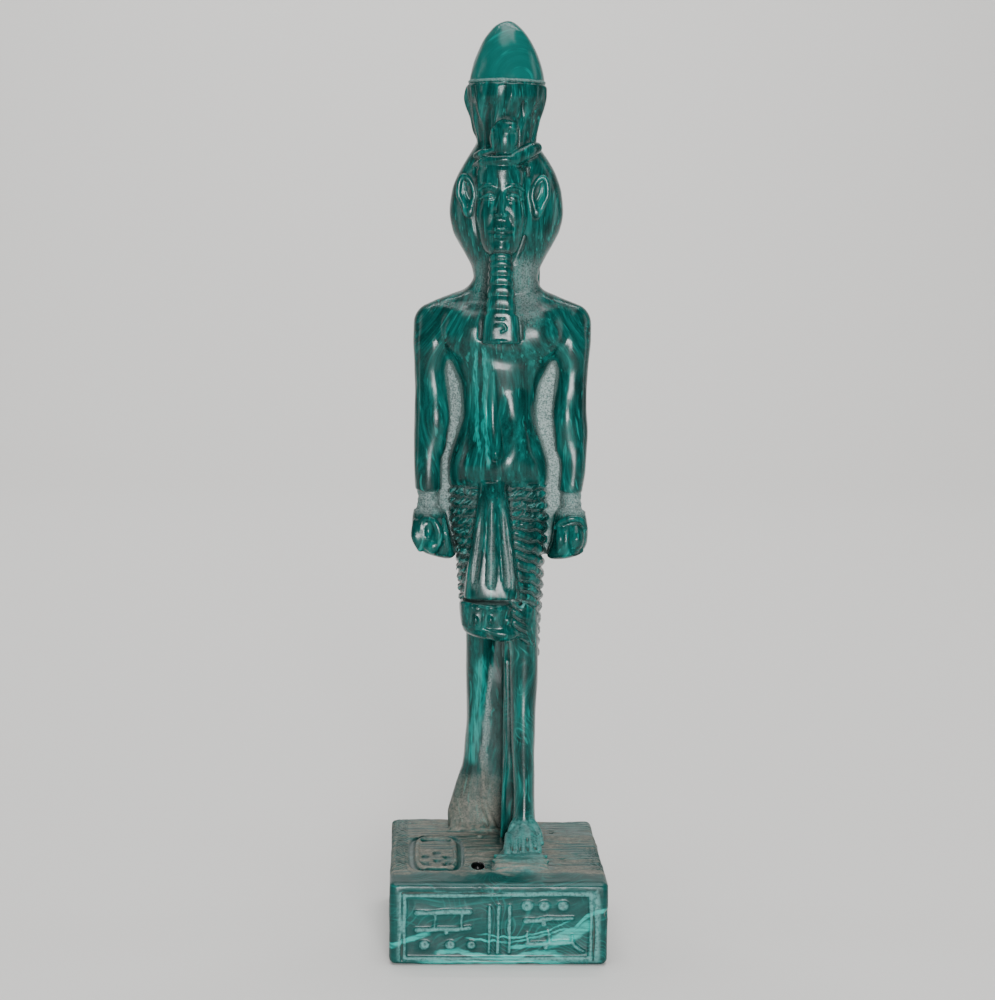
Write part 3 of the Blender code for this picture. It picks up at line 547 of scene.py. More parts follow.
def apron(field):
    """The stiff apron with its dished flutes and raised lines, and the fringed block under it."""
    field.join(column(HEM_BLOCK, cap=1), 0.5)
    field.join(column(APRON, cap=0.7), 0.4)
    seam = [(-11.8, 0, 69.6), (-9.6, -6.6, 69.2), (-6, -7.9, 68.4), (-2, -8.1, 67.4), (3, -7.8, 66.8),
            (5.6, 0, 66.8)]
    field.carve(tube(seam, 0.45), 0.25)
    for top, foot, wide, low, _ in FLUTES:
        path = [(top, -3.1, 95.6), (top + 0.3 * (foot - top), -4.4, 89),
                (top + 0.62 * (foot - top), -6.15, 81), (foot, -7.4, 75), (foot, -7.5, low)]
        field.carve(tube(path, [0.75, 1, 1.3, wide, wide - 0.2]), 0.2)
    for top, foot in ((-6.3, -8.9), (-1.6, 0.1), (0.4, 3.5)):
        edge = on_front(APRON, [(top + t * (foot - top), 94.6 - 21.0 * t) for t in np.linspace(0, 1, 6)])
        field.join(tube(edge, [0.25, 0.27, 0.30, 0.33, 0.36, 0.38]), 0.3)
    front = -7.5
    field.join(tube(on_front(HEM_BLOCK, ((-10.4, 67.2), (-6, 66.9), (-1, 66), (2.3, 65.8))), 0.5), 0.4)
    field.join(tube([(-9.9, -4.6, 61.6), (-6, front + 0.5, 60.9), (-1, front + 0.3, 59.6)], 0.45), 0.5)
    for across, lift in ((-8.4, 0.4), (-4.9, 0)):
        upright = on_front(HEM_BLOCK, ((across + 0.3, 66.4 + lift), (across, 61.4 + lift)))
        field.join(tube(upright, 0.36), 0.25)
        hook = on_front(HEM_BLOCK, ((across + 0.3, 66.0 + lift), (across + 2.4, 65.5 + lift)))
        field.join(tube(hook, 0.3), 0.25)
    for across in (-6.8, -2.9):
        field.join(ball((across, front, 63), (0.75, 0.7, 1.35), (0, -12, 0)), 0.25)
    field.join(ball(*on_front(HEM_BLOCK, [(1.5, 62.9)]), (1, 0.55, 0.8), (0, 30, 0)), 0.3)
    field.join(ball((0.2, -4.8, 59.2), (4.2, 3, 2.2)), 1.6)


def fists(field):
    field.join(column(RIGHT_FIST, cap=2), 0.6)
    field.join(column(LEFT_FIST, cap=2), 0.6)
    loop = [(-20.6, 2.2, 88.6), (-18.4, 1.5, 88.2), (-17, 1.4, 85.8), (-16.9, 1.6, 82.8), (-18.4, 1.6, 81),
            (-20.6, 1.9, 81.4), (-21.8, 2.1, 84.6), (-21.7, 2.2, 87.2)]
    field.join(tube(loop, [0.7, 0.9, 1.1, 1.1, 0.9, 0.6, 0.5, 0.5], closed=True), 0.3)
    field.carve(ball((-19.7, 0.9, 85.6), (1.2, 1.4, 2.2)), 0.3)
    field.join(ball((-18.5, 1.9, 81.3), (1.7, 1.4, 2)), 0.2)
    field.carve(tube([(-20.6, 0.6, 80.6), (-19.6, 0.6, 83.2)], 0.35), 0.3)
    field.join(tube([(-15.8, 2.2, 88.4), (-15, 1.8, 84.4), (-14.2, 2.6, 80.4)], [0.6, 0.8, 0.6]), 0.3)
    field.join(tube([(-23.2, 3.2, 87.6), (-23.2, 2.6, 84), (-21.8, 2.8, 80.6)], [0.8, 1.2, 0.9]), 0.8)
    arch = [(14.2, 3, 86.6), (15.6, 2.2, 88.2), (18.2, 1.7, 89.2), (20.8, 2.3, 88.6), (22, 3.2, 86.4)]
    field.join(tube(arch, [0.7, 0.9, 1, 0.9, 0.7]), 0.4)
    field.join(tube([(15.2, 2.4, 86.4), (15.3, 1.7, 83.6), (15, 2.4, 80.6)], [0.9, 1.3, 1]), 0.2)
    field.join(tube([(19.4, 2.4, 86.6), (19.5, 1.4, 83.8), (19, 2.2, 81.2)], [1.4, 2.1, 1.6]), 0.2)
    field.join(tube([(17.4, 2.6, 80.4), (19.2, 2.4, 79.8), (20.8, 3, 80.6)], 0.75), 0.2)
    for rows, seed in ((RIGHT_ARM, 21), (LEFT_ARM, 22)):
        across = rows[0][1]
        field.shift(*stipple((across - 6, 2, 89.6), (across + 6, 16, 96.2), 0.22, seed, 1.5))


def head(field):
    """Headdress and head, parted by a groove beside the face, with the brow's band."""
    field.join(column(HEADDRESS), 1.2)
    field.join(column(HEAD, cap=2.4), 0.35)
    for side in (-1, 1):
        edge = to_side(FACE_MIDDLE, side, (6.7, 2.4, 181), (7.1, 2.2, 176), (6.8, 2.2, 167),
                       (5.5, 2.4, 161.4), (3.6, 2.6, 156.6))
        field.carve(tube(edge, [0.3, 0.3, 0.5, 0.7, 0.7]), 0.9)
    upper = [(-8.4, 3.2, 181.8), (-5.8, -1.4, 182.7), (-1.4, -3, 183), (2.6, -1.8, 183), (5.4, 2.8, 182.8)]
    field.join(tube(upper, [0.5, 1.1, 1.3, 1.2, 0.6]), 1.2)
    lower = [(-7.4, 0.4, 180), (-4.6, -2.2, 180.4), (-1.4, -3, 180.5), (1.8, -2.2, 180.4), (4.4, 0.4, 180)]
    field.join(tube(lower, [0.2, 0.45, 0.5, 0.45, 0.2]), 1)


def ears(field):
    for side, across in ((-1, -10.4), (1, 8.3)):
        lean = side * 0.13
        field.join(ball((across, 3.2, 173.8), (2.3, 2.4, 5.6), (0, side * 8, 0)), 0.3)
        rim = []
        for a in angles(14):
            up = 5.0 * math.sin(a)
            wide = 2.0 * math.cos(a) * (1.0 - 0.35 * (up < -1))
            rim.append((across + side * 0.2 + wide + lean * up, 1.2 + 0.10 * side * wide, 173.8 + up))
        field.join(tube(rim, 0.72, closed=True, fine=3), 0.35)
        field.carve(ball((across - side * 0.1, 0.8, 174.8), (1, 1.4, 2.8), (0, side * 8, 0)), 0.6)
        inner = to_side(across, side, (-0.9, 1.7, 172.2), (0.3, 1.6, 174.6), (0.6, 1.7, 176.8))
        field.join(tube(inner, [0.6, 0.5, 0.35]), 0.35)
        field.join(ball((across - side * 0.5, 1.2, 169.8), (1.1, 0.9, 1.3)), 0.5)


def eye_and_brow(field, side):
    eye = FACE_MIDDLE + side * 3.0
    field.join(ball((eye, -2.3, 173), (1.75, 1.15, 1)), 0.3)
    lid = to_side(eye, side, (-1.9, -2.9, 172.8), (-0.6, -3.4, 173.95), (0.8, -3.2, 173.95),
                  (2.6, -1.7, 172.9))
    field.join(tube(lid, [0.22, 0.32, 0.32, 0.24]), 0.25)
    under = to_side(eye, side, (-1.8, -2.9, 172.6), (0, -3.2, 171.95), (2.1, -2.1, 172.6))
    field.join(tube(under, [0.18, 0.24, 0.18]), 0.25)
    brow = to_side(FACE_MIDDLE, side, (1, -3.45, 175.5))
    brow += to_side(eye, side, (-0.4, -3.6, 176.3), (1.3, -2.95, 176.3), (3, -1.3, 175.2))
    field.join(tube(brow, [0.25, 0.38, 0.34, 0.2]), 0.7)


def face(field):
    """A calm, even face by the usual thirds: brow, base of the nose, chin."""
    middle = FACE_MIDDLE
    field.join(ball((middle, 0.4, 178.2), (5.6, 3.9, 3.4)), 2.6)
    for side in (-1, 1):
        field.carve(ball((middle + side * 3.2, -5, 173.1), (2.3, 2, 1.7)), 1.4)
        field.join(ball((middle + side * 3.4, -0.7, 168.8), (2.4, 2.3, 3.2)), 2.6)
    field.join(ball((middle, -1.7, 164.4), (3.2, 2.3, 2.6)), 2.2)
    ridge = [(middle, -2.7, 176.4), (middle, -3.5, 173.8), (middle, -4.5, 170.8), (middle, -5.1, 168.9)]
    field.join(tube(ridge, [0.75, 0.62, 0.7, 0.8]), 0.9)
    for side in (-1, 1):
        eye_and_brow(field, side)
        field.join(ball((middle + side * 1.1, -4, 168.6), (0.85, 1, 0.7)), 0.8)
        field.carve(ball((middle + side * 0.7, -4.9, 167.8), (0.35, 0.5, 0.25)), 0.2)
        field.carve(tube(to_side(middle, side, (2.1, -4.1, 168.2), (3, -3.8, 165.8)), [0.15, 0.1]), 1.2)
        upper = to_side(middle, side, (0, -4.35, 165.1), (1.1, -4.3, 165.2), (2.7, -3, 164.3))
        field.join(tube(upper, [0.45, 0.60, 0.25]), 0.4)
        lower = to_side(middle, side, (0, -4.3, 163.1), (1.1, -4.15, 163.2), (2.3, -3.2, 163.9))
        field.join(tube(lower, [0.70, 0.60, 0.25]), 0.4)
        field.carve(ball((middle + side * 2.9, -3.6, 164.2), (0.35, 0.35, 0.35)), 0.5)
    mouth = to_side(middle, 1, (-2.6, -3.6, 164.25), (-0.9, -4.7, 164.2), (0, -4.65, 164.1),
                    (0.9, -4.7, 164.2), (2.6, -3.6, 164.25))
    field.carve(tube(mouth, 0.22), 0.2)
    field.carve(tube([(middle, -5, 167), (middle, -4.9, 166.1)], 0.25), 0.4)
    field.carve(tube(to_side(middle, 1, (-1.2, -4.3, 162), (0, -4.6, 161.9), (1.2, -4.3, 162)), 0.35), 0.8)
    field.join(ball((middle, -1.9, 160.3), (2.4, 2.1, 1.7)), 1.2)


def beard(field):
    rows = (
        (135.6, -1, -1, 4.9, 4.1, 4.2),
        (142.6, -1.2, -1.2, 4.3, 4, 4.2),
        (143.2, -1.3, -1.3, 3.8, 3.7, 4),
        (159, -1.3, -1, 2.6, 3.4, 3.4),
    )
    low, high, plain_form = column(rows, cap=0.8)

    def distance(x, y, z):
        """The plaits are finer near the chin, and each is parted by a faint line of its own."""
        sag = np.clip((159.2 - z - 0.07 * (x + 1.3) ** 2) / 16.4, 0, 1.1)
        turn = 6.4 * sag + 3.0 * (1 - sag) * sag
        plait = np.abs(np.sin(math.pi * turn)) ** 0.6
        on = smooth_step(142.6, 143.2, z)
        return plain_form(x, y, z) - 0.42 * plait * on - 0.15 * (1 - on)

    field.join((low, high, distance), 0.3)
    field.join(tube([(-5.2, -3.4, 142.4), (-1.2, -5.4, 141.9), (2.6, -3.4, 142.4)], 0.35), 0.3)
    field.join(tube([(-5.6, -3.2, 136.4), (-1.1, -5.2, 136), (3.4, -3.2, 136.4)], 0.45), 0.5)
    mark = [(-2.6, -5.3, 140.2), (-0.8, -5.45, 140.6), (0.2, -5.4, 139.4), (-1, -5.45, 138.6)]
    field.join(tube(mark, 0.32), 0.3)
    for side in (-1, 1):
        parting = to_side(-1.2, side, (3.5, 1.6, 157), (4.5, 1.2, 148), (5.4, 1, 137))
        field.carve(tube(parting, [0.5, 0.5, 0.4]), 1.2)


def crown(field):
    """The lumpy basket, its thin rim and the smooth dome over it."""
    table = np.array([(height, 0, 0, radius, radius, 2) for height, radius in BASKET])
    low = (CROWN_ACROSS - 12, CROWN_BACK - 12, 184)
    high = (CROWN_ACROSS + 12, CROWN_BACK + 12, 220)

    def basket(x, y, z):
        x, y = x - CROWN_ACROSS, y - CROWN_BACK
        around = np.arctan2(y, x)
        flute = np.cos(BASKET_FLUTES * around + 1.3 * waves(x, y, z * 0.5, 12, 31))
        lump = waves(x, y, z * 0.45, 5, 32)
        pick = waves(x, y, z * 0.25, 2.4, 33)
        body_part = smooth_step(201.6, 197, z)
        fluted = 0.34 * flute * (0.65 + 0.35 * lump) * (0.35 + 0.65 * body_part)
        rise = fluted + 0.26 * lump + 0.10 * pick - 0.25
        fade = smooth_step(203.4, 201.4, z)
        ends = np.maximum(185.0 - z, z - 203.2)
        return smooth_more(section(x, y, *smooth_rows(table, z)) - rise * fade, ends, 0.8)

    def dome(x, y, z):
        reach = np.sqrt((x - CROWN_ACROSS) ** 2 + (y - CROWN_BACK) ** 2) / 9.85
        up = np.maximum(z - 204.3, 0) / 15.2
        q = (reach**1.9 + up**1.4) ** (1 / 1.9) + 1e-6
        return np.maximum((q - 1) * 9, 203.2 - z)

    field.join((low, high, basket), 0.5)
    field.join((low, high, dome), 0.4)
    rim = [(CROWN_ACROSS + 10.0 * math.cos(a), CROWN_BACK + 10.0 * math.sin(a), 203.7)
           for a in angles(24)]
    field.join(tube(rim, 0.28, closed=True, fine=2), 0.3)
    dents = ((-118, 193, 4.6), (-97, 191, 3.4), (-64, 194, 4.4), (-38, 192, 4.2), (-150, 193, 4.6))
    for angle, height, size in dents:
        x = CROWN_ACROSS + 9.7 * math.cos(math.radians(angle))
        y = CROWN_BACK + 9.7 * math.sin(math.radians(angle))
        field.carve(ball((x, y, height), (0.8, 0.9, size)), 1)


def uraeus(field):
    """The cobra: raised hood, head, knob and a thick coil that runs to the figure's left."""
    field.join(ball((-0.9, -0.2, 188.4), (3.9, 2.9, 5.2), (14, 0, 0)), 0.4)
    field.join(ball((-0.9, -1.6, 187), (2.9, 1.9, 3.4), (10, 0, 0)), 1.2)
    field.carve(tube([(-4, -1.6, 185.4), (-3, -3.2, 187.6), (-2.4, -3.6, 190)], [0.3, 0.4, 0.4]), 0.6)
    field.join(ball((0.4, -2.4, 191.4), (2.3, 1.8, 1.5), (10, 0, 0)), 0.8)
    field.join(ball((-3.4, -1.7, 190.4), (1.1, 1.1, 1)), 0.4)
    coil = [(0, -2, 182.9), (2.6, -1.4, 184), (5.4, 0.6, 185.4), (7.4, 3.4, 186.4)]
    field.join(tube(coil, [1.3, 2, 2.1, 1.5]), 0.6)
    field.join(tube([(-8, 3.4, 184.2), (-6.4, 0.6, 184.8), (-4.2, -0.8, 185.4)], [1, 1.1, 0.7]), 0.6)


def plinth(field):
    low = (-HALF_WIDTH, -HALF_DEPTH, -PLINTH)
    high = (HALF_WIDTH, HALF_DEPTH, 0)
    field.join(box(low, high, 1.7), 0.5)
    chips = (
        (28.4, -16, 0.4, 1.5), (28.6, -6, 0.5, 1.7), (28.3, 3, 0.6, 1.2), (28.5, 11, 0.3, 1.6),
        (28.4, 21, 0.5, 1.3), (-28.4, 27, 0.5, 1.4), (20, 31.3, 0.4, 1.3), (28.1, -30.9, -9, 1.2),
        (-28.3, 8, 0.7, 1), (-28.4, -5, 0.6, 0.9), (17.2, -11, 0.4, 0.8), (21.6, -7, 0.5, 1),
        (16, 17, 0.5, 1.1),
    )
    for x, y, z, size in chips:
        field.carve(ball((x, y, z), (size, 1.9 * size, size)), 0.6)

    def hatch(x, y, z):
        """Diagonal cuts along both edges and long shallow scratches over the rest of the top."""
        top = smooth_step(-1.9, -0.6, z)
        left = smooth_step(-22.6, -24, x)
        right = smooth_step(23, 25, x) * smooth_step(6, -2, y)
        cuts = 1 - np.abs(np.sin(1.9 * (y + 1.1 * np.abs(x)) + 0.9 * waves(x, y, z, 7, 41))) ** 0.6
        scratches = np.abs(np.sin(1.5 * y + 1.6 * waves(x * 0.22, y, z, 9, 42))) ** 10
        rise = 0.5 * smooth_step(0, 30, y) * smooth_step(10, -20, x) - 1.3 * smooth_step(-22.5, -33, y)
        dusty = smooth_step(-22.5, -20.5, y)
        marks = 0.60 * left * cuts + 0.45 * right * cuts + 0.20 * scratches * (1 - left)
        return top * (rise - dusty * marks)

    field.shift((-HALF_WIDTH - 0.5, -HALF_DEPTH - 0.5, -2.5), (HALF_WIDTH, HALF_DEPTH, 1.5), hatch)


def ring(field):
    """The oval ring in the plinth's top, with a rim inside it and its few dots, and the bubble beside it."""
    middle = (-15.95, -5.05)

    def oval(grow, level):
        points = []
        for a in angles(28):
            c, s = math.cos(a), math.sin(a)
            x = middle[0] + (6.6 + grow) * math.copysign(abs(c) ** 0.5, c)
            y = middle[1] + (16.7 + grow) * math.copysign(abs(s) ** 0.5, s)
            points.append((x, y, level))
        return points

    field.carve(tube(oval(0, 0.25), 0.95, closed=True, fine=2), 0.3)
    field.join(tube(oval(-1.5, -0.05), 0.55, closed=True, fine=2), 0.4)
    arc = [(middle[0] - 3.4, 7.4, 0.2), (middle[0], 8.2, 0.2), (middle[0] + 3.4, 7.4, 0.2)]
    field.carve(tube(arc, 0.8), 0.3)
    for x, y in ((-2.8, -3.6), (0.2, 0), (3, -3.8), (0.3, -7.6), (-2.6, -11), (2.9, -10.8)):
        field.carve(ball((middle[0] + x, middle[1] + y, 0.1), (1.35, 2.1, 0.8)), 0.3)
    lip = [(BUBBLE[0] + 1.9 * math.cos(a), BUBBLE[1] + 3.9 * math.sin(a), -0.05)
           for a in np.linspace(0, 5.5, 10)]
    field.join(tube(lip, 0.4), 0.3)
    field.carve(ball((*BUBBLE, 0.1), (1.6, 3.7, 2.2)), 0.15)
    field.join(ball((-3.8, 11.4, 0.1), (0.8, 0.8, 0.6)), 0.2)


def bar(field, low, high, size, seed):
    """One uneven raised stroke on the front field."""
    draw = np.random.default_rng(seed)
    points = []
    for t in np.linspace(0, 1, 5):
        x = low[0] + t * (high[0] - low[0]) + draw.normal() * 0.08
        z = low[1] + t * (high[1] - low[1]) + draw.normal() * 0.10
        points.append((x, -HALF_DEPTH + 0.55, z))
    field.join(tube(points, [size * (0.9 + 0.25 * draw.random()) for _ in points], flat=0.9), 0.2)


def panels(field):
    """Framed fields on the plinth's front and sides, and the front one's rows of plain strokes."""
    front = -HALF_DEPTH
    field.carve(box((-25, front - 2, -21.4), (24.6, front + 0.55, -3.4), 0.2), 0.35)
    for side in (-1, 1):
        face_at = side * HALF_WIDTH
        near, far = sorted((face_at - side * 0.55, face_at + side * 2))
        field.carve(box((near, -27, -20.3), (far, 27, -4.4), 0.2), 0.35)
    frame = ((-24.2, -4.2), (23.7, -3.9), (23.7, -20.7), (-24.1, -20.8))
    for i, (a, b) in enumerate(zip(frame, frame[1:] + frame[:1])):
        bar(field, a, b, 0.50, 50 + i)
    for i, level in enumerate((-8.8, -13.2)):
        bar(field, (-20.9, level), (-7.4, level + 0.2), 0.58, 60 + i)
    for i, x in enumerate((-16.2, -9.4)):
        bar(field, (x, -9.2), (x - 0.2, -12.8), 0.34, 65 + i)
    for x in (-19, -12.4, -7):
        field.join(ball((x, front + 0.6, -17.2), (1.35, 0.75, 1.2)), 0.3)
        field.carve(ball((x + 0.2, front - 0.2, -17), (0.55, 0.5, 0.5)), 0.3)
    for i, x in enumerate((-2.4, -0.1, 2.8)):
        bar(field, (x, -7.2), (x - 0.1, -19), 0.5, 70 + i)
    for x in (7.3, 11.7, 16.5):
        field.join(ball((x, front + 0.6, -6.9), (1.5, 0.75, 1.35)), 0.3)
        field.carve(ball((x - 0.2, front - 0.2, -6.8), (0.6, 0.5, 0.55)), 0.3)
    bar(field, (6.8, -10.8), (18.8, -10.2), 0.55, 80)
    bar(field, (7.3, -17), (18.6, -16.6), 0.45, 81)
    bar(field, (18.6, -16.6), (21.8, -18.8), 0.42, 82)
    for i, (x, top) in enumerate(((7.2, -14), (12.8, -13.6), (18.8, -14.6))):
        bar(field, (x, top), (x + 0.3, -16.6), 0.34, 85 + i)
    for x, z in ((11.6, -11.6), (12.2, -17.7), (-13.4, -14)):
        field.join(ball((x, front + 0.5, z), (0.7, 0.6, 0.6)), 0.2)


def hand_worn(field):
    """A faint unevenness all over."""
    near = np.nonzero(np.abs(field.values) < 1.2)
    x, y, z = (axis[place] for axis, place in zip(field.axes, near))
    field.values[near] -= (0.07 * waves(x, y, z, 14, 91) + 0.035 * waves(x, y, z, 4, 92)).astype(np.float32)


def stepped(stops, coarse):
    """An axis through every other number given, by about the step that stands between two of them."""
    places = [stops[0]]
    for a, step, b in zip(stops[::2], stops[1::2], stops[2::2]):
        count = max(round((b - a) / (step * coarse)), 1)
        places.extend(a + (b - a) * (i + 1) / count for i in range(count))
    return np.array(places)


def carve_statue():
    coarse = 1.0
    stops = (
        (-29.4, 0.36, -13.5, 0.21, 12.5, 0.36, 29.4),
        (-32.4, 0.36, -7.4, 0.21, 4.5, 0.36, 13, 0.5, 32.4),
        (-24, 0.34, 57, 0.30, 98, 0.36, 134, 0.24, 160, 0.19, 184, 0.26, 206, 0.36, 221.5),
    )
    field = Field([stepped(row, coarse) for row in stops])
    for part in (plinth, ring, panels):
        part(field)
    field.turned = True
    for part in (legs, front_foot, body, kilt, apron, webs, fists, head, ears, face, beard, crown, uraeus):
        part(field)
    hand_worn(field)
    return field


def surface_net(field):
    """Vertices at the mean of each cell's crossings, and quads across the grid's crossed edges."""
    values = field.values
    inside = values < 0
    count = np.zeros([n - 1 for n in values.shape], np.uint8)
    for corner in CORNERS:
        count += inside[tuple(slice(s, n - 1 + s) for s, n in zip(corner, values.shape))]
    active = (count > 0) & (count < 8)
    cells = np.argwhere(active)
    index = np.full(active.shape, -1, np.int32)
    index[active] = np.arange(len(cells))
    total = np.zeros((len(cells), 3))
    number = np.zeros(len(cells))
    for start in CORNERS:
        for k in range(3):
            if start[k]:
                continue
            end = tuple(1 if n == k else s for n, s in enumerate(start))
            a = values[tuple((cells + start).T)]
            b = values[tuple((cells + end).T)]
            crossed = (a < 0) != (b < 0)
            t = np.where(crossed, a / np.where(crossed, a - b, 1), 0)
            for n in range(3):
                axis = field.axes[n]
                place = axis[cells[:, n] + start[n]]
                if n == k:
                    place = place + t * (axis[cells[:, n] + 1] - place)
                total[:, n] += np.where(crossed, place, 0)
            number += crossed
    vertices = total / number[:, None]
    quads = []
    for k in range(3):
        one, two = (k + 1) % 3, (k + 2) % 3
        low = [slice(None)] * 3
        high = [slice(None)] * 3
        low[k], high[k] = slice(None, -1), slice(1, None)
        a, b = inside[tuple(low)], inside[tuple(high)]
        edges = np.argwhere(a != b)
        starts_inside = a[tuple(edges.T)]
        loop = []
        for back_one, back_two in ((1, 1), (0, 1), (0, 0), (1, 0)):
            cell = edges.copy()
            cell[:, one] -= back_one
            cell[:, two] -= back_two
            loop.append(index[tuple(cell.T)])
        loop = np.column_stack(loop)
        loop[~starts_inside] = loop[~starts_inside][:, ::-1]
        quads.append(loop)
    return vertices, np.concatenate(quads)


def placed(name, data):
    """A new object in the scene."""
    thing = bpy.data.objects.new(name, data)
    bpy.context.scene.collection.objects.link(thing)
    return thing


def smoothed(thing):
    thing.data.polygons.foreach_set("use_smooth", [True] * len(thing.data.polygons))
    thing.data.update()


def mesh_from(name, vertices, faces):
    mesh = bpy.data.meshes.new(name)
    sides = faces.shape[1]
    mesh.vertices.add(len(vertices))
    mesh.vertices.foreach_set("co", vertices.astype(np.float32).ravel())
    mesh.loops.add(faces.size)
    mesh.loops.foreach_set("vertex_index", faces.astype(np.int32).ravel())
    mesh.polygons.add(len(faces))
    mesh.polygons.foreach_set("loop_start", np.arange(0, faces.size, sides, dtype=np.int32))
    mesh.update(calc_edges=True)
    mesh.validate()
    return mesh


def thinned(thing, wanted):
    """The object's mesh with about the wanted count of triangles."""
    triangles = sum(len(face.vertices) - 2 for face in thing.data.polygons)
    if triangles > wanted:
        modifier = thing.modifiers.new("thin", "DECIMATE")
        modifier.ratio = wanted / triangles
        modifier.use_collapse_triangulate = True
        depsgraph = bpy.context.evaluated_depsgraph_get()
        mesh = bpy.data.meshes.new_from_object(thing.evaluated_get(depsgraph))
        thing.modifiers.remove(modifier)
        thing.data = mesh


def points_of(mesh):
    points = np.empty(3 * len(mesh.vertices), np.float32)
    mesh.vertices.foreach_get("co", points)
    return points.reshape(-1, 3).astype(float)


def inside_box(x, y, z, low, high, soft=1.5):
    """1 well inside a box, 0 outside, soft between."""
    share = 1.0
    for place, a, b in zip((x, y, z), low, high):
        share = share * smooth_step(a - soft / 2, a + soft / 2, place)
        share = share * smooth_step(-b - soft / 2, -b + soft / 2, -place)
    return share


def plinth_dust(points, ways, hollow):
    """The dust over the plinth's top, worn off in streaks at its back corners and along its +X edge."""
    x, y, z = points.T
    ragged = y + 1.3 * waves(x, y, 0 * z, 9, 103)
    top = inside_box(x, ragged, z, (-40, -24.4, -1.4), (40, 40, 1.6), 1.2) * smooth_step(0.2, 0.7, ways[:, 2])
    worn_places = (
        ((-27.5, 18, -2), (-16, 31, 2), 3),
        ((13, 14, -2), (29, 31, 2), 4),
        ((19, -18, -2), (29, 8, 2), 5),
    )
    worn = np.maximum.reduce([inside_box(x, y, z, *place) for place in worn_places])
    streak = 0.5 + 0.5 * waves(x * 0.25, y, 0 * z, 5, 101)
    return top * (0.90 - 0.8 * worn * smooth_step(0.25, 0.6, streak)) * (1 - smooth_step(0.06, 0.24, hollow))


def dust_at(points, ways, hollow):
    """Where pale grinding dust has stayed, from 0 to 1."""
    dust = plinth_dust(points, ways, hollow)
    place = along_figure(*points.T)
    x, _, z = place
    for low, high, amount, soft in DUSTY:
        dust = np.maximum(dust, amount * inside_box(*place, low, high, soft))
    line = np.abs(x - np.interp(z, (2, 9, 20, 34, 50), (-1.9, -4.2, -4.7, -3.7, -2.4)))
    streak = 0.6 * smooth_step(0.7, 0.2, line) * inside_box(*place, (-6, 17, 1), (0, 22, 46), 1)
    dust = np.maximum(dust, streak)
    front = np.clip(-ways[:, 1], 0, 1)
    share = np.clip((95.4 - z) / 21, 0, 1)
    width = 0.4 + 0.9 * share
    on_apron = inside_box(*place, (-11, -9, 71.4), (6, 2, 95), 1)
    for top, foot, _, _, amount in FLUTES:
        near = np.abs(x - (top + share * (foot - top)))
        flute = smooth_step(width + 0.3, width - 0.3, near) * on_apron
        dust = np.maximum(dust, amount * flute * front * share**0.7)
    return dust


def pale_at(points, edge):
    """Where the stone's own pale crust shows: the strokes, the toes and the pleats' edges."""
    x, y, z = points.T
    proud = smooth_step(-HALF_DEPTH + 0.42, -HALF_DEPTH + 0.10, y)
    strokes = proud * inside_box(x, y, z, (-25.6, -33, -21.8), (25.4, -30, -3.2), 0.4)
    figure = along_figure(*points.T)
    toes = inside_box(*figure, (1, -16, 0.4), (12.4, 0, 9), 2)
    pad = inside_box(*figure, (-1, -25, -0.4), (13, -14, 2.4), 2)
    pleats = inside_box(*figure, (-15, -6, 56), (14, 26, 97.4), 1) * smooth_step(0.42, 0.75, edge)
    apron_front = inside_box(*figure, (-11, -12, 56), (5.2, 0.5, 99), 1)
    return np.maximum.reduce([0.55 * strokes, 0.30 * toes, 0.25 * pad, 0.85 * pleats * (1 - apron_front)])


def paint(mesh, field, points):
    """Vertex values: hollow and edge, which the material turns into painted shade and a painted highlight and
    which also settle dust, then dust and the bubble's pit; beside them the pale crust.
    """
    ways, size = field.slope(points)
    hollow = np.zeros(len(points))
    edge = np.zeros(len(points))
    for reach in (0.5, 1, 1.8):
        hollow += np.clip(1 - field.sample(points + reach * ways) / (reach * size), 0, 1) / 3
        edge += np.clip(1 + field.sample(points - reach * ways) / (reach * size), 0, 1) / 3
    # the bubble's hollow, which the material paints near black as shade
    pit = np.linalg.norm((points - (*BUBBLE, 0)) / (1.9, 4.1, 2.4), axis=1) < 1.0
    values = np.column_stack([hollow, edge, dust_at(points, ways, hollow), pit.astype(float)])
    layer = mesh.attributes.new("shade_light_dust", "FLOAT_COLOR", "POINT")
    layer.data.foreach_set("color", values.astype(np.float32).ravel())
    layer = mesh.attributes.new("pale", "FLOAT", "POINT")
    layer.data.foreach_set("value", pale_at(points, edge).astype(np.float32))


def statue_surface():
    field = carve_statue()
    vertices, quads = surface_net(field)
    thing = placed("statue_surface", mesh_from("statue_surface", vertices, quads))
    thinned(thing, TRIANGLES)
    points = points_of(thing.data)
    for _ in range(3):  # back onto the surface that the thinning left
        ways, size = field.slope(points)
        points = points - np.clip(field.sample(points) / size, -0.3, 0.3)[:, None] * ways
    paint(thing.data, field, points)
    thing.data.vertices.foreach_set("co", points.astype(np.float32).ravel())
    unit = (HIGH[2] - LOW[2]) / TOTAL_HEIGHT
    thing.data.transform(Matrix.Scale(unit, 4) @ Matrix.Translation((0, 0, PLINTH)))
    smoothed(thing)
    return thing


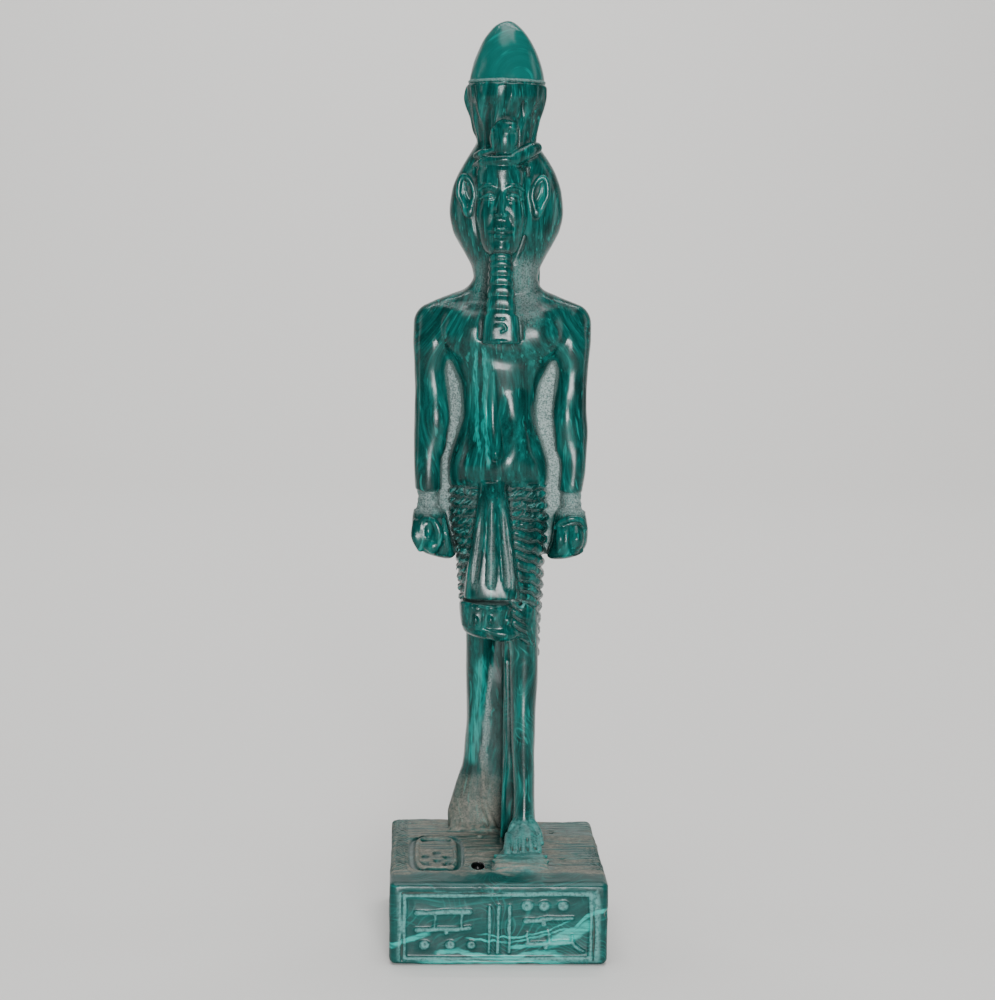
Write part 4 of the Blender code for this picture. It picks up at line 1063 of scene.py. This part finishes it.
class Graph:
    """Short calls for a material's nodes."""

    def __init__(self, name):
        self.material = bpy.data.materials.new(name)
        self.material.use_nodes = True
        self.tree = self.material.node_tree
        self.shader = self.tree.nodes["Principled BSDF"]

    def put(self, socket, value):
        if isinstance(value, bpy.types.NodeSocket):
            self.tree.links.new(value, socket)
        elif value is not None:
            socket.default_value = value

    def node(self, kind, *values, **settings):
        node = self.tree.nodes.new(kind)
        for name, value in settings.items():
            setattr(node, name, value)
        for socket, value in zip(node.inputs, values):
            self.put(socket, value)
        return node

    def math(self, operation, a, b=None, c=None, clamp=False):
        return self.node("ShaderNodeMath", a, b, c, operation=operation, use_clamp=clamp).outputs[0]

    def times(self, a, b):
        return self.math("MULTIPLY", a, b)

    def plus(self, a, b):
        return self.math("ADD", a, b)

    def vector(self, operation, a, b=None):
        return self.node("ShaderNodeVectorMath", a, b, operation=operation).outputs[0]

    def mix(self, share, a, b):
        node = self.node("ShaderNodeMix", data_type="RGBA")
        for socket, value in zip((node.inputs[0], node.inputs[6], node.inputs[7]), (share, a, b)):
            self.put(socket, value)
        return node.outputs[2]

    def ranged(self, value, low, high, start=0, end=1):
        return self.node("ShaderNodeMapRange", value, low, high, start, end,
                         interpolation_type="SMOOTHSTEP").outputs[0]

    def scaled(self, vector, size):
        node = self.node("ShaderNodeVectorMath", vector, operation="SCALE")
        self.put(node.inputs["Scale"], size)
        return node.outputs[0]

    def curve(self, value, points, low, high):
        """A smooth curve through points of (value, result), all of them between low and high."""
        share = self.node("ShaderNodeMapRange", value, low, high).outputs[0]
        node = self.node("ShaderNodeFloatCurve", 1, share)
        line = node.mapping.curves[0]
        spots = [((a - low) / (high - low), (b - low) / (high - low)) for a, b in points]
        line.points[0].location, line.points[1].location = spots[0], spots[-1]
        for spot in spots[1:-1]:
            line.points.new(*spot)
        node.mapping.update()
        return self.math("MULTIPLY_ADD", node.outputs[0], high - low, low)

    def noise(self, place, scale, detail=2, roughness=0.5, output="Fac"):
        node = self.node("ShaderNodeTexNoise")
        inputs = {"Vector": place, "Scale": scale, "Detail": detail, "Roughness": roughness}
        for name, value in inputs.items():
            self.put(node.inputs[name], value)
        return node.outputs[output]

    def drift(self, place, scale, detail, roughness, reach):
        """A vector that wanders about zero, by about half the reach."""
        colour = self.noise(place, scale, detail, roughness, "Color")
        return self.scaled(self.vector("SUBTRACT", colour, (0.5, 0.5, 0.5)), reach)

    def ramp(self, value, stops):
        node = self.node("ShaderNodeValToRGB", value)
        ramp = node.color_ramp
        for place, _ in stops[1:-1]:
            ramp.elements.new(place)
        for element, (place, colour) in zip(ramp.elements, stops):
            element.position = place
            element.color = (*colour, 1)
        return node.outputs[0]


CENTIMETRES = 100  # the material's places are in these, from the middle of the plinth's underside
CROWN_SPOT = (0.40, 0.2, 22.6)  # that the dome's bands arch about
# Heights between which one look gives way to the next
PLINTH_TO_FIGURE = (2.19, 2.31)
DUST_TO_FIGURE = (2.30, 2.60)
GREY_TO_COOL = (3.6, 5)
BASKET_TO_DOME = (22.5, 22.75)
PLINTH_ROUGHNESS = 0.26
FIGURE_ROUGHNESS = 0.16
BUBBLE_ROUGHNESS = 0.08
# Linear colours, from the darkest bands to what lies on the stone, with painted shade and a painted highlight
# among them
TONES = (
    (0.33, (0.0003, 0.014, 0.013)),
    (0.43, (0.0004, 0.027, 0.024)),
    (0.50, (0.0006, 0.044, 0.039)),
    (0.57, (0.0009, 0.069, 0.060)),
    (0.68, (0.0020, 0.125, 0.107)),
)
THIN_LINES = (0.010, 0.27, 0.23, 1)
BRIGHT_VEINS = (0.012, 0.33, 0.285, 1)
PLINTH_TINT = (0.003, 0.042, 0.040, 1)
DOME_TINT = (0.003, 0.180, 0.156, 1)
GRAIN = (0.003, 0.10, 0.085, 1)
PALE_CRUST = (0.12, 0.34, 0.32, 1)
# painted shade laid into hollows, creases and recesses
SHADE_IN_HOLLOWS = (0.0005, 0.014, 0.013, 1)
# painted highlight on convex edges and crests
HIGHLIGHT_ON_EDGES = (0.008, 0.19, 0.165, 1)
# painted shade inside the bubble's hollow
SHADE_IN_BUBBLE = (0.002, 0.003, 0.003, 1)
GREY_DUST = ((0.125, 0.135, 0.115, 1), (0.255, 0.235, 0.195, 1))
COOL_DUST = ((0.150, 0.215, 0.205, 1), (0.320, 0.400, 0.385, 1))


def malachite_bands(graph, place, along, seed, swirl, curls):
    """Wispy dark and lighter streaks along one axis of a bent space, with a share of thin curls."""
    place = graph.vector("ADD", place, (seed, 2.3 * seed, 0.7 * seed))
    bent = graph.vector("ADD", place, graph.drift(place, 0.42, 1, 0.5, swirl))
    drawn = graph.vector("MULTIPLY", bent, along)
    broad = graph.noise(drawn, 0.8)
    fine = graph.noise(drawn, 3.4, 3, 0.6)
    thin = graph.noise(graph.vector("ADD", drawn, (7.1, 3.3, 5.9)), 2.2, 2, 0.55)
    tone = graph.plus(graph.times(broad, 0.6), graph.times(fine, 0.4))
    ring = graph.math("FRACT", graph.times(graph.noise(bent, 0.50, 1, 0.4), 34))
    ring = graph.times(graph.ranged(ring, 0.30, 0.5), graph.ranged(ring, 0.70, 0.5))
    where = graph.ranged(graph.noise(place, 0.8), 0.44, 0.60)
    curl = graph.times(graph.times(ring, where), curls)
    line = graph.math("MAXIMUM", graph.ranged(thin, 0.60, 0.70, 0, 0.42), curl)
    return graph.mix(line, graph.ramp(tone, TONES), THIN_LINES)


def vein(graph, along, across, points, width, low, high):
    """1 on a line through points of (along, across), 0 past its width and past its ends."""
    gap = graph.math("ABSOLUTE", graph.math("SUBTRACT", across, graph.curve(along, points, low, high)))
    share = graph.ranged(gap, width, 0.45 * width)
    for end, inner in ((points[0][0], points[0][0] + 0.25), (points[-1][0], points[-1][0] - 0.25)):
        share = graph.times(share, graph.ranged(along, end, inner))
    return share


def veins(graph, place):
    """The brighter bands: on the plinth's front, down the chest and down the rear shin."""
    waver = graph.drift(place, 1.6, 3, 0.6, 0.28)
    parts = graph.node("ShaderNodeSeparateXYZ", graph.vector("ADD", place, waver))
    x, up = parts.outputs["X"], parts.outputs["Z"]
    lying = (
        ([(-3, 0.44), (-2.4, 0.63), (-2.05, 0.73), (-1.7, 0.86)], 0.11),
        ([(-1.7, 0.26), (-1.15, 0.36), (-0.75, 0.28), (0.25, 0.20), (1.1, 0.34), (1.7, 0.24)], 0.085),
        ([(-2.1, 0.09), (-0.5, 0.05), (0.9, 0.10), (1.8, 0.03)], 0.075),
        ([(0.2, 0.50), (1.2, 0.60), (1.9, 0.95), (2.3, 1.30), (2.9, 1.50)], 0.07),
        ([(1.2, 0.55), (1.9, 0.78), (2.25, 1.00), (2.5, 1.05)], 0.20),
        ([(-0.9, 0.68), (0.2, 0.62), (1.1, 0.78), (2, 0.98)], 0.035),
        ([(-0.6, 0.80), (0.3, 0.76), (1.2, 0.90), (1.9, 1.20)], 0.035),
    )
    standing = (
        ([(12.4, -0.33), (13.6, -0.38), (14.8, -0.42), (15.8, -0.47)], 0.075),
        ([(12.8, -0.56), (13.4, -0.59), (14.3, -0.63), (15.7, -0.68)], 0.06),
        ([(4, -0.62), (4.6, -0.58), (5.4, -0.48), (7.2, -0.38)], 0.22),
    )
    best = 0.0
    for points, width in lying:
        best = graph.math("MAXIMUM", best, vein(graph, x, up, points, width, -3, 3))
    flowing = graph.noise(graph.vector("MULTIPLY", place, (1, 1, 8)), 1.6, 3, 0.6)
    best = graph.times(best, graph.ranged(flowing, 0.34, 0.56, 0.35, 0.95))
    best = graph.times(best, graph.ranged(up, 2.35, 2.2))
    upright = 0.0
    for points, width in standing:
        upright = graph.math("MAXIMUM", upright, vein(graph, up, x, points, width, -1, 17))
    drawn = graph.noise(graph.vector("MULTIPLY", place, (8, 8, 0.7)), 2, 3, 0.6)
    upright = graph.times(upright, graph.ranged(drawn, 0.38, 0.60, 0.10, 0.50))
    return graph.math("MAXIMUM", best, upright)


def stone_colour(graph, place, up):
    """Bands that lie on the plinth, stand on the figure and arch over the crown's dome."""
    tilt = (0, math.radians(8), 0)
    tilted = graph.node("ShaderNodeMapping", place, (0, 0, 0), tilt, (1, 1, 1)).outputs[0]
    lying = malachite_bands(graph, tilted, (0.4, 0.4, 4.6), 0, 1.5, 0.50)
    lying = graph.mix(0.50, lying, PLINTH_TINT)
    across = graph.node("ShaderNodeSeparateXYZ", place).outputs["X"]
    shin = graph.times(graph.ranged(up, 8.1, 7.7), graph.ranged(across, 0.1, 0.4))
    sloping = graph.times(across, graph.ranged(up, 15.2, 17.4, 0, 0.9))
    leaning = graph.vector("ADD", place, graph.node("ShaderNodeCombineXYZ", sloping, 0, sloping).outputs[0])
    standing = malachite_bands(graph, leaning, (4.4, 4.4, 0.42), 3.1, 1.2, graph.times(shin, 0.6))
    from_crown = graph.vector("SUBTRACT", place, CROWN_SPOT)
    reach = graph.node("ShaderNodeVectorMath", from_crown, operation="LENGTH").outputs["Value"]
    arched = graph.node("ShaderNodeCombineXYZ", reach, graph.times(across, 0.12), 0).outputs[0]
    arched = malachite_bands(graph, arched, (3.4, 3.4, 1), 5.3, 0.35, 0)
    arched = graph.mix(0.35, arched, DOME_TINT)
    figure = graph.mix(graph.ranged(up, *BASKET_TO_DOME), standing, arched)
    bands = graph.mix(graph.ranged(up, *PLINTH_TO_FIGURE), lying, figure)
    bands = graph.mix(veins(graph, place), bands, BRIGHT_VEINS)
    return graph.mix(graph.ranged(graph.noise(place, 26), 0.40, 0.75, 0, 0.16), bands, GRAIN)


def dust_cover(graph, place, hollow, dust, on_figure, soft_noise, picked):
    """Dust settled in hollows, swept over the plinth's top and speckled over the figure's rough places."""
    settled = graph.ranged(graph.plus(hollow, graph.times(soft_noise, 0.30)), 0.40, 0.85, 0, 0.20)
    brushed = graph.noise(graph.vector("MULTIPLY", place, (0.6, 5, 3)), 1.3, 4, 0.65)
    swept = graph.ranged(brushed, 0.40, 0.56, 0.12, 1.02)
    speckled = graph.ranged(picked, 0.36, 0.56, 0.50, 1.08)
    kind = graph.node("ShaderNodeMix", on_figure, None, swept, speckled).outputs[0]
    return graph.math("MAXIMUM", settled, graph.times(dust, kind), clamp=True)


def malachite():
    graph = Graph("malachite")
    place = graph.scaled(graph.node("ShaderNodeTexCoord").outputs["Object"], CENTIMETRES)
    up = graph.node("ShaderNodeSeparateXYZ", place).outputs["Z"]
    on_figure = graph.ranged(up, *DUST_TO_FIGURE)
    shade_light_dust = graph.node("ShaderNodeAttribute", attribute_name="shade_light_dust")
    hollow, edge, dust = graph.node("ShaderNodeSeparateColor", shade_light_dust.outputs["Color"]).outputs[:3]
    pit = shade_light_dust.outputs["Alpha"]
    pale = graph.node("ShaderNodeAttribute", attribute_name="pale").outputs["Fac"]
    rough_noise = graph.noise(place, 9, 4, 0.65)
    soft_noise = graph.noise(place, 2.2)
    picked = graph.noise(place, 24, 3, 0.6)
    crust = graph.times(pale, graph.ranged(graph.noise(place, 14, 3), 0.30, 0.60, 0.35, 1.1))
    cover = dust_cover(graph, place, hollow, dust, on_figure, soft_noise, picked)
    colour = graph.mix(crust, stone_colour(graph, place, up), PALE_CRUST)
    # Painted shade: darker where the surface is hollow, by how deep it is.
    colour = graph.mix(graph.ranged(hollow, 0.10, 0.60, 0, 0.75), colour, SHADE_IN_HOLLOWS)
    # Painted highlight: lighter on convex edges and crests.
    colour = graph.mix(graph.ranged(edge, 0.35, 0.75, 0, 0.25), colour, HIGHLIGHT_ON_EDGES)
    grey = graph.mix(graph.ranged(rough_noise, 0.3, 0.7), *GREY_DUST)
    cool = graph.mix(graph.ranged(picked, 0.35, 0.65), *COOL_DUST)
    colour = graph.mix(cover, colour, graph.mix(graph.ranged(up, *GREY_TO_COOL), grey, cool))
    # Painted shade: the bubble's hollow is painted near black.
    colour = graph.mix(pit, colour, SHADE_IN_BUBBLE)
    keep = graph.math("SUBTRACT", 1, pit)
    dull = graph.times(graph.math("MAXIMUM", cover, crust), 0.50)
    roughness = graph.plus(dull, graph.ranged(on_figure, 0, 1, PLINTH_ROUGHNESS, FIGURE_ROUGHNESS))
    roughness = graph.plus(roughness, graph.times(soft_noise, 0.10))
    roughness = graph.plus(graph.times(roughness, keep), graph.times(pit, BUBBLE_ROUGHNESS))
    bump = graph.node("ShaderNodeBump")
    bump.inputs["Distance"].default_value = 0.0004
    graph.put(bump.inputs["Strength"], graph.times(graph.plus(graph.times(cover, 0.8), 0.06), keep))
    graph.put(bump.inputs["Height"], graph.plus(graph.noise(place, 38, 3, 0.6), rough_noise))
    graph.shader.inputs["IOR"].default_value = 1.33
    graph.put(graph.shader.inputs["Base Color"], colour)
    graph.put(graph.shader.inputs["Roughness"], roughness)
    graph.put(graph.shader.inputs["Normal"], bump.outputs[0])
    return graph.material


def plain(name, colour, roughness):
    graph = Graph(name)
    graph.shader.inputs["Base Color"].default_value = (*colour, 1)
    graph.shader.inputs["Roughness"].default_value = roughness
    return graph.material


def cyclorama():
    """A pale floor that curves up behind into a backdrop."""
    profile = [(-3, 0), (1.2, 0)]
    profile += [(1.2 + 0.8 * math.sin(a), 0.8 - 0.8 * math.cos(a)) for a in np.linspace(0.1, math.pi / 2, 12)]
    profile.append((2, 4))
    vertices = np.array([(x, y, z) for y, z in profile for x in (-4, 4)])
    faces = np.array([(2 * i, 2 * i + 1, 2 * i + 3, 2 * i + 2) for i in range(len(profile) - 1)])
    thing = placed("floor", mesh_from("floor", vertices, faces))
    smoothed(thing)
    thing.data.materials.append(plain("pale_floor", (0.72, 0.71, 0.69), 0.7))


def area_light(name, place, aim, size, power):
    light = bpy.data.lights.new(name, "AREA")
    light.shape = "RECTANGLE"
    light.size, light.size_y = size
    light.energy = power
    thing = placed(name, light)
    thing.location = place
    thing.rotation_euler = (Vector(aim) - Vector(place)).to_track_quat("-Z", "Y").to_euler()


def lights():
    area_light("key", (0.06, -0.95, 0.20), (0, 0, 0.11), (0.22, 0.24), 12.5)
    area_light("left_strip", (-0.75, 0.10, 0.30), (0, 0, 0.12), (0.16, 0.7), 0.8)
    area_light("right_strip", (0.75, 0.15, 0.30), (0, 0, 0.12), (0.16, 0.7), 0.8)
    area_light("overhead", (0, -0.10, 1.20), (0, 0, 0), (0.8, 0.8), 11)
    area_light("backdrop", (0, 0.70, 1.60), (0, 2, 0.5), (1.6, 0.3), 36)
    world = bpy.data.worlds.new("studio")
    bpy.context.scene.world = world
    world.use_nodes = True
    background = world.node_tree.nodes["Background"]
    background.inputs["Color"].default_value = (0.92, 0.95, 1, 1)
    background.inputs["Strength"].default_value = 0.06


def camera():
    """The photograph's view: slightly from above, a little rolled, and square to the figure's turn."""
    pitch = math.radians(6.05)
    roll = math.radians(0.73)
    turn = Matrix.Rotation(math.radians(-2.05), 3, "Z")
    right = Vector((1, 0, 0))
    ahead = Vector((0, math.cos(pitch), -math.sin(pitch)))
    up = Vector((0, math.sin(pitch), math.cos(pitch)))
    across = right * math.cos(roll) + up * math.sin(roll)
    over = up * math.cos(roll) - right * math.sin(roll)
    data = bpy.data.cameras.new("camera")
    data.lens = 80.1
    data.sensor_width = 36.0
    data.clip_start = 0.01
    thing = placed("camera", data)
    ways = turn @ Matrix((across, over, -ahead)).transposed()
    place = (-0.02151, -0.58444, 0.17859)
    thing.matrix_world = Matrix.Translation(place) @ ways.to_4x4()
    bpy.context.scene.camera = thing


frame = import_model()
CAD_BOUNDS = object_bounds()
LOW, HIGH = CAD_BOUNDS
camera()
lights()
cyclorama()
statue = statue_surface()
statue.data.materials.append(malachite())
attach(statue, "root")
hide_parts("statue")
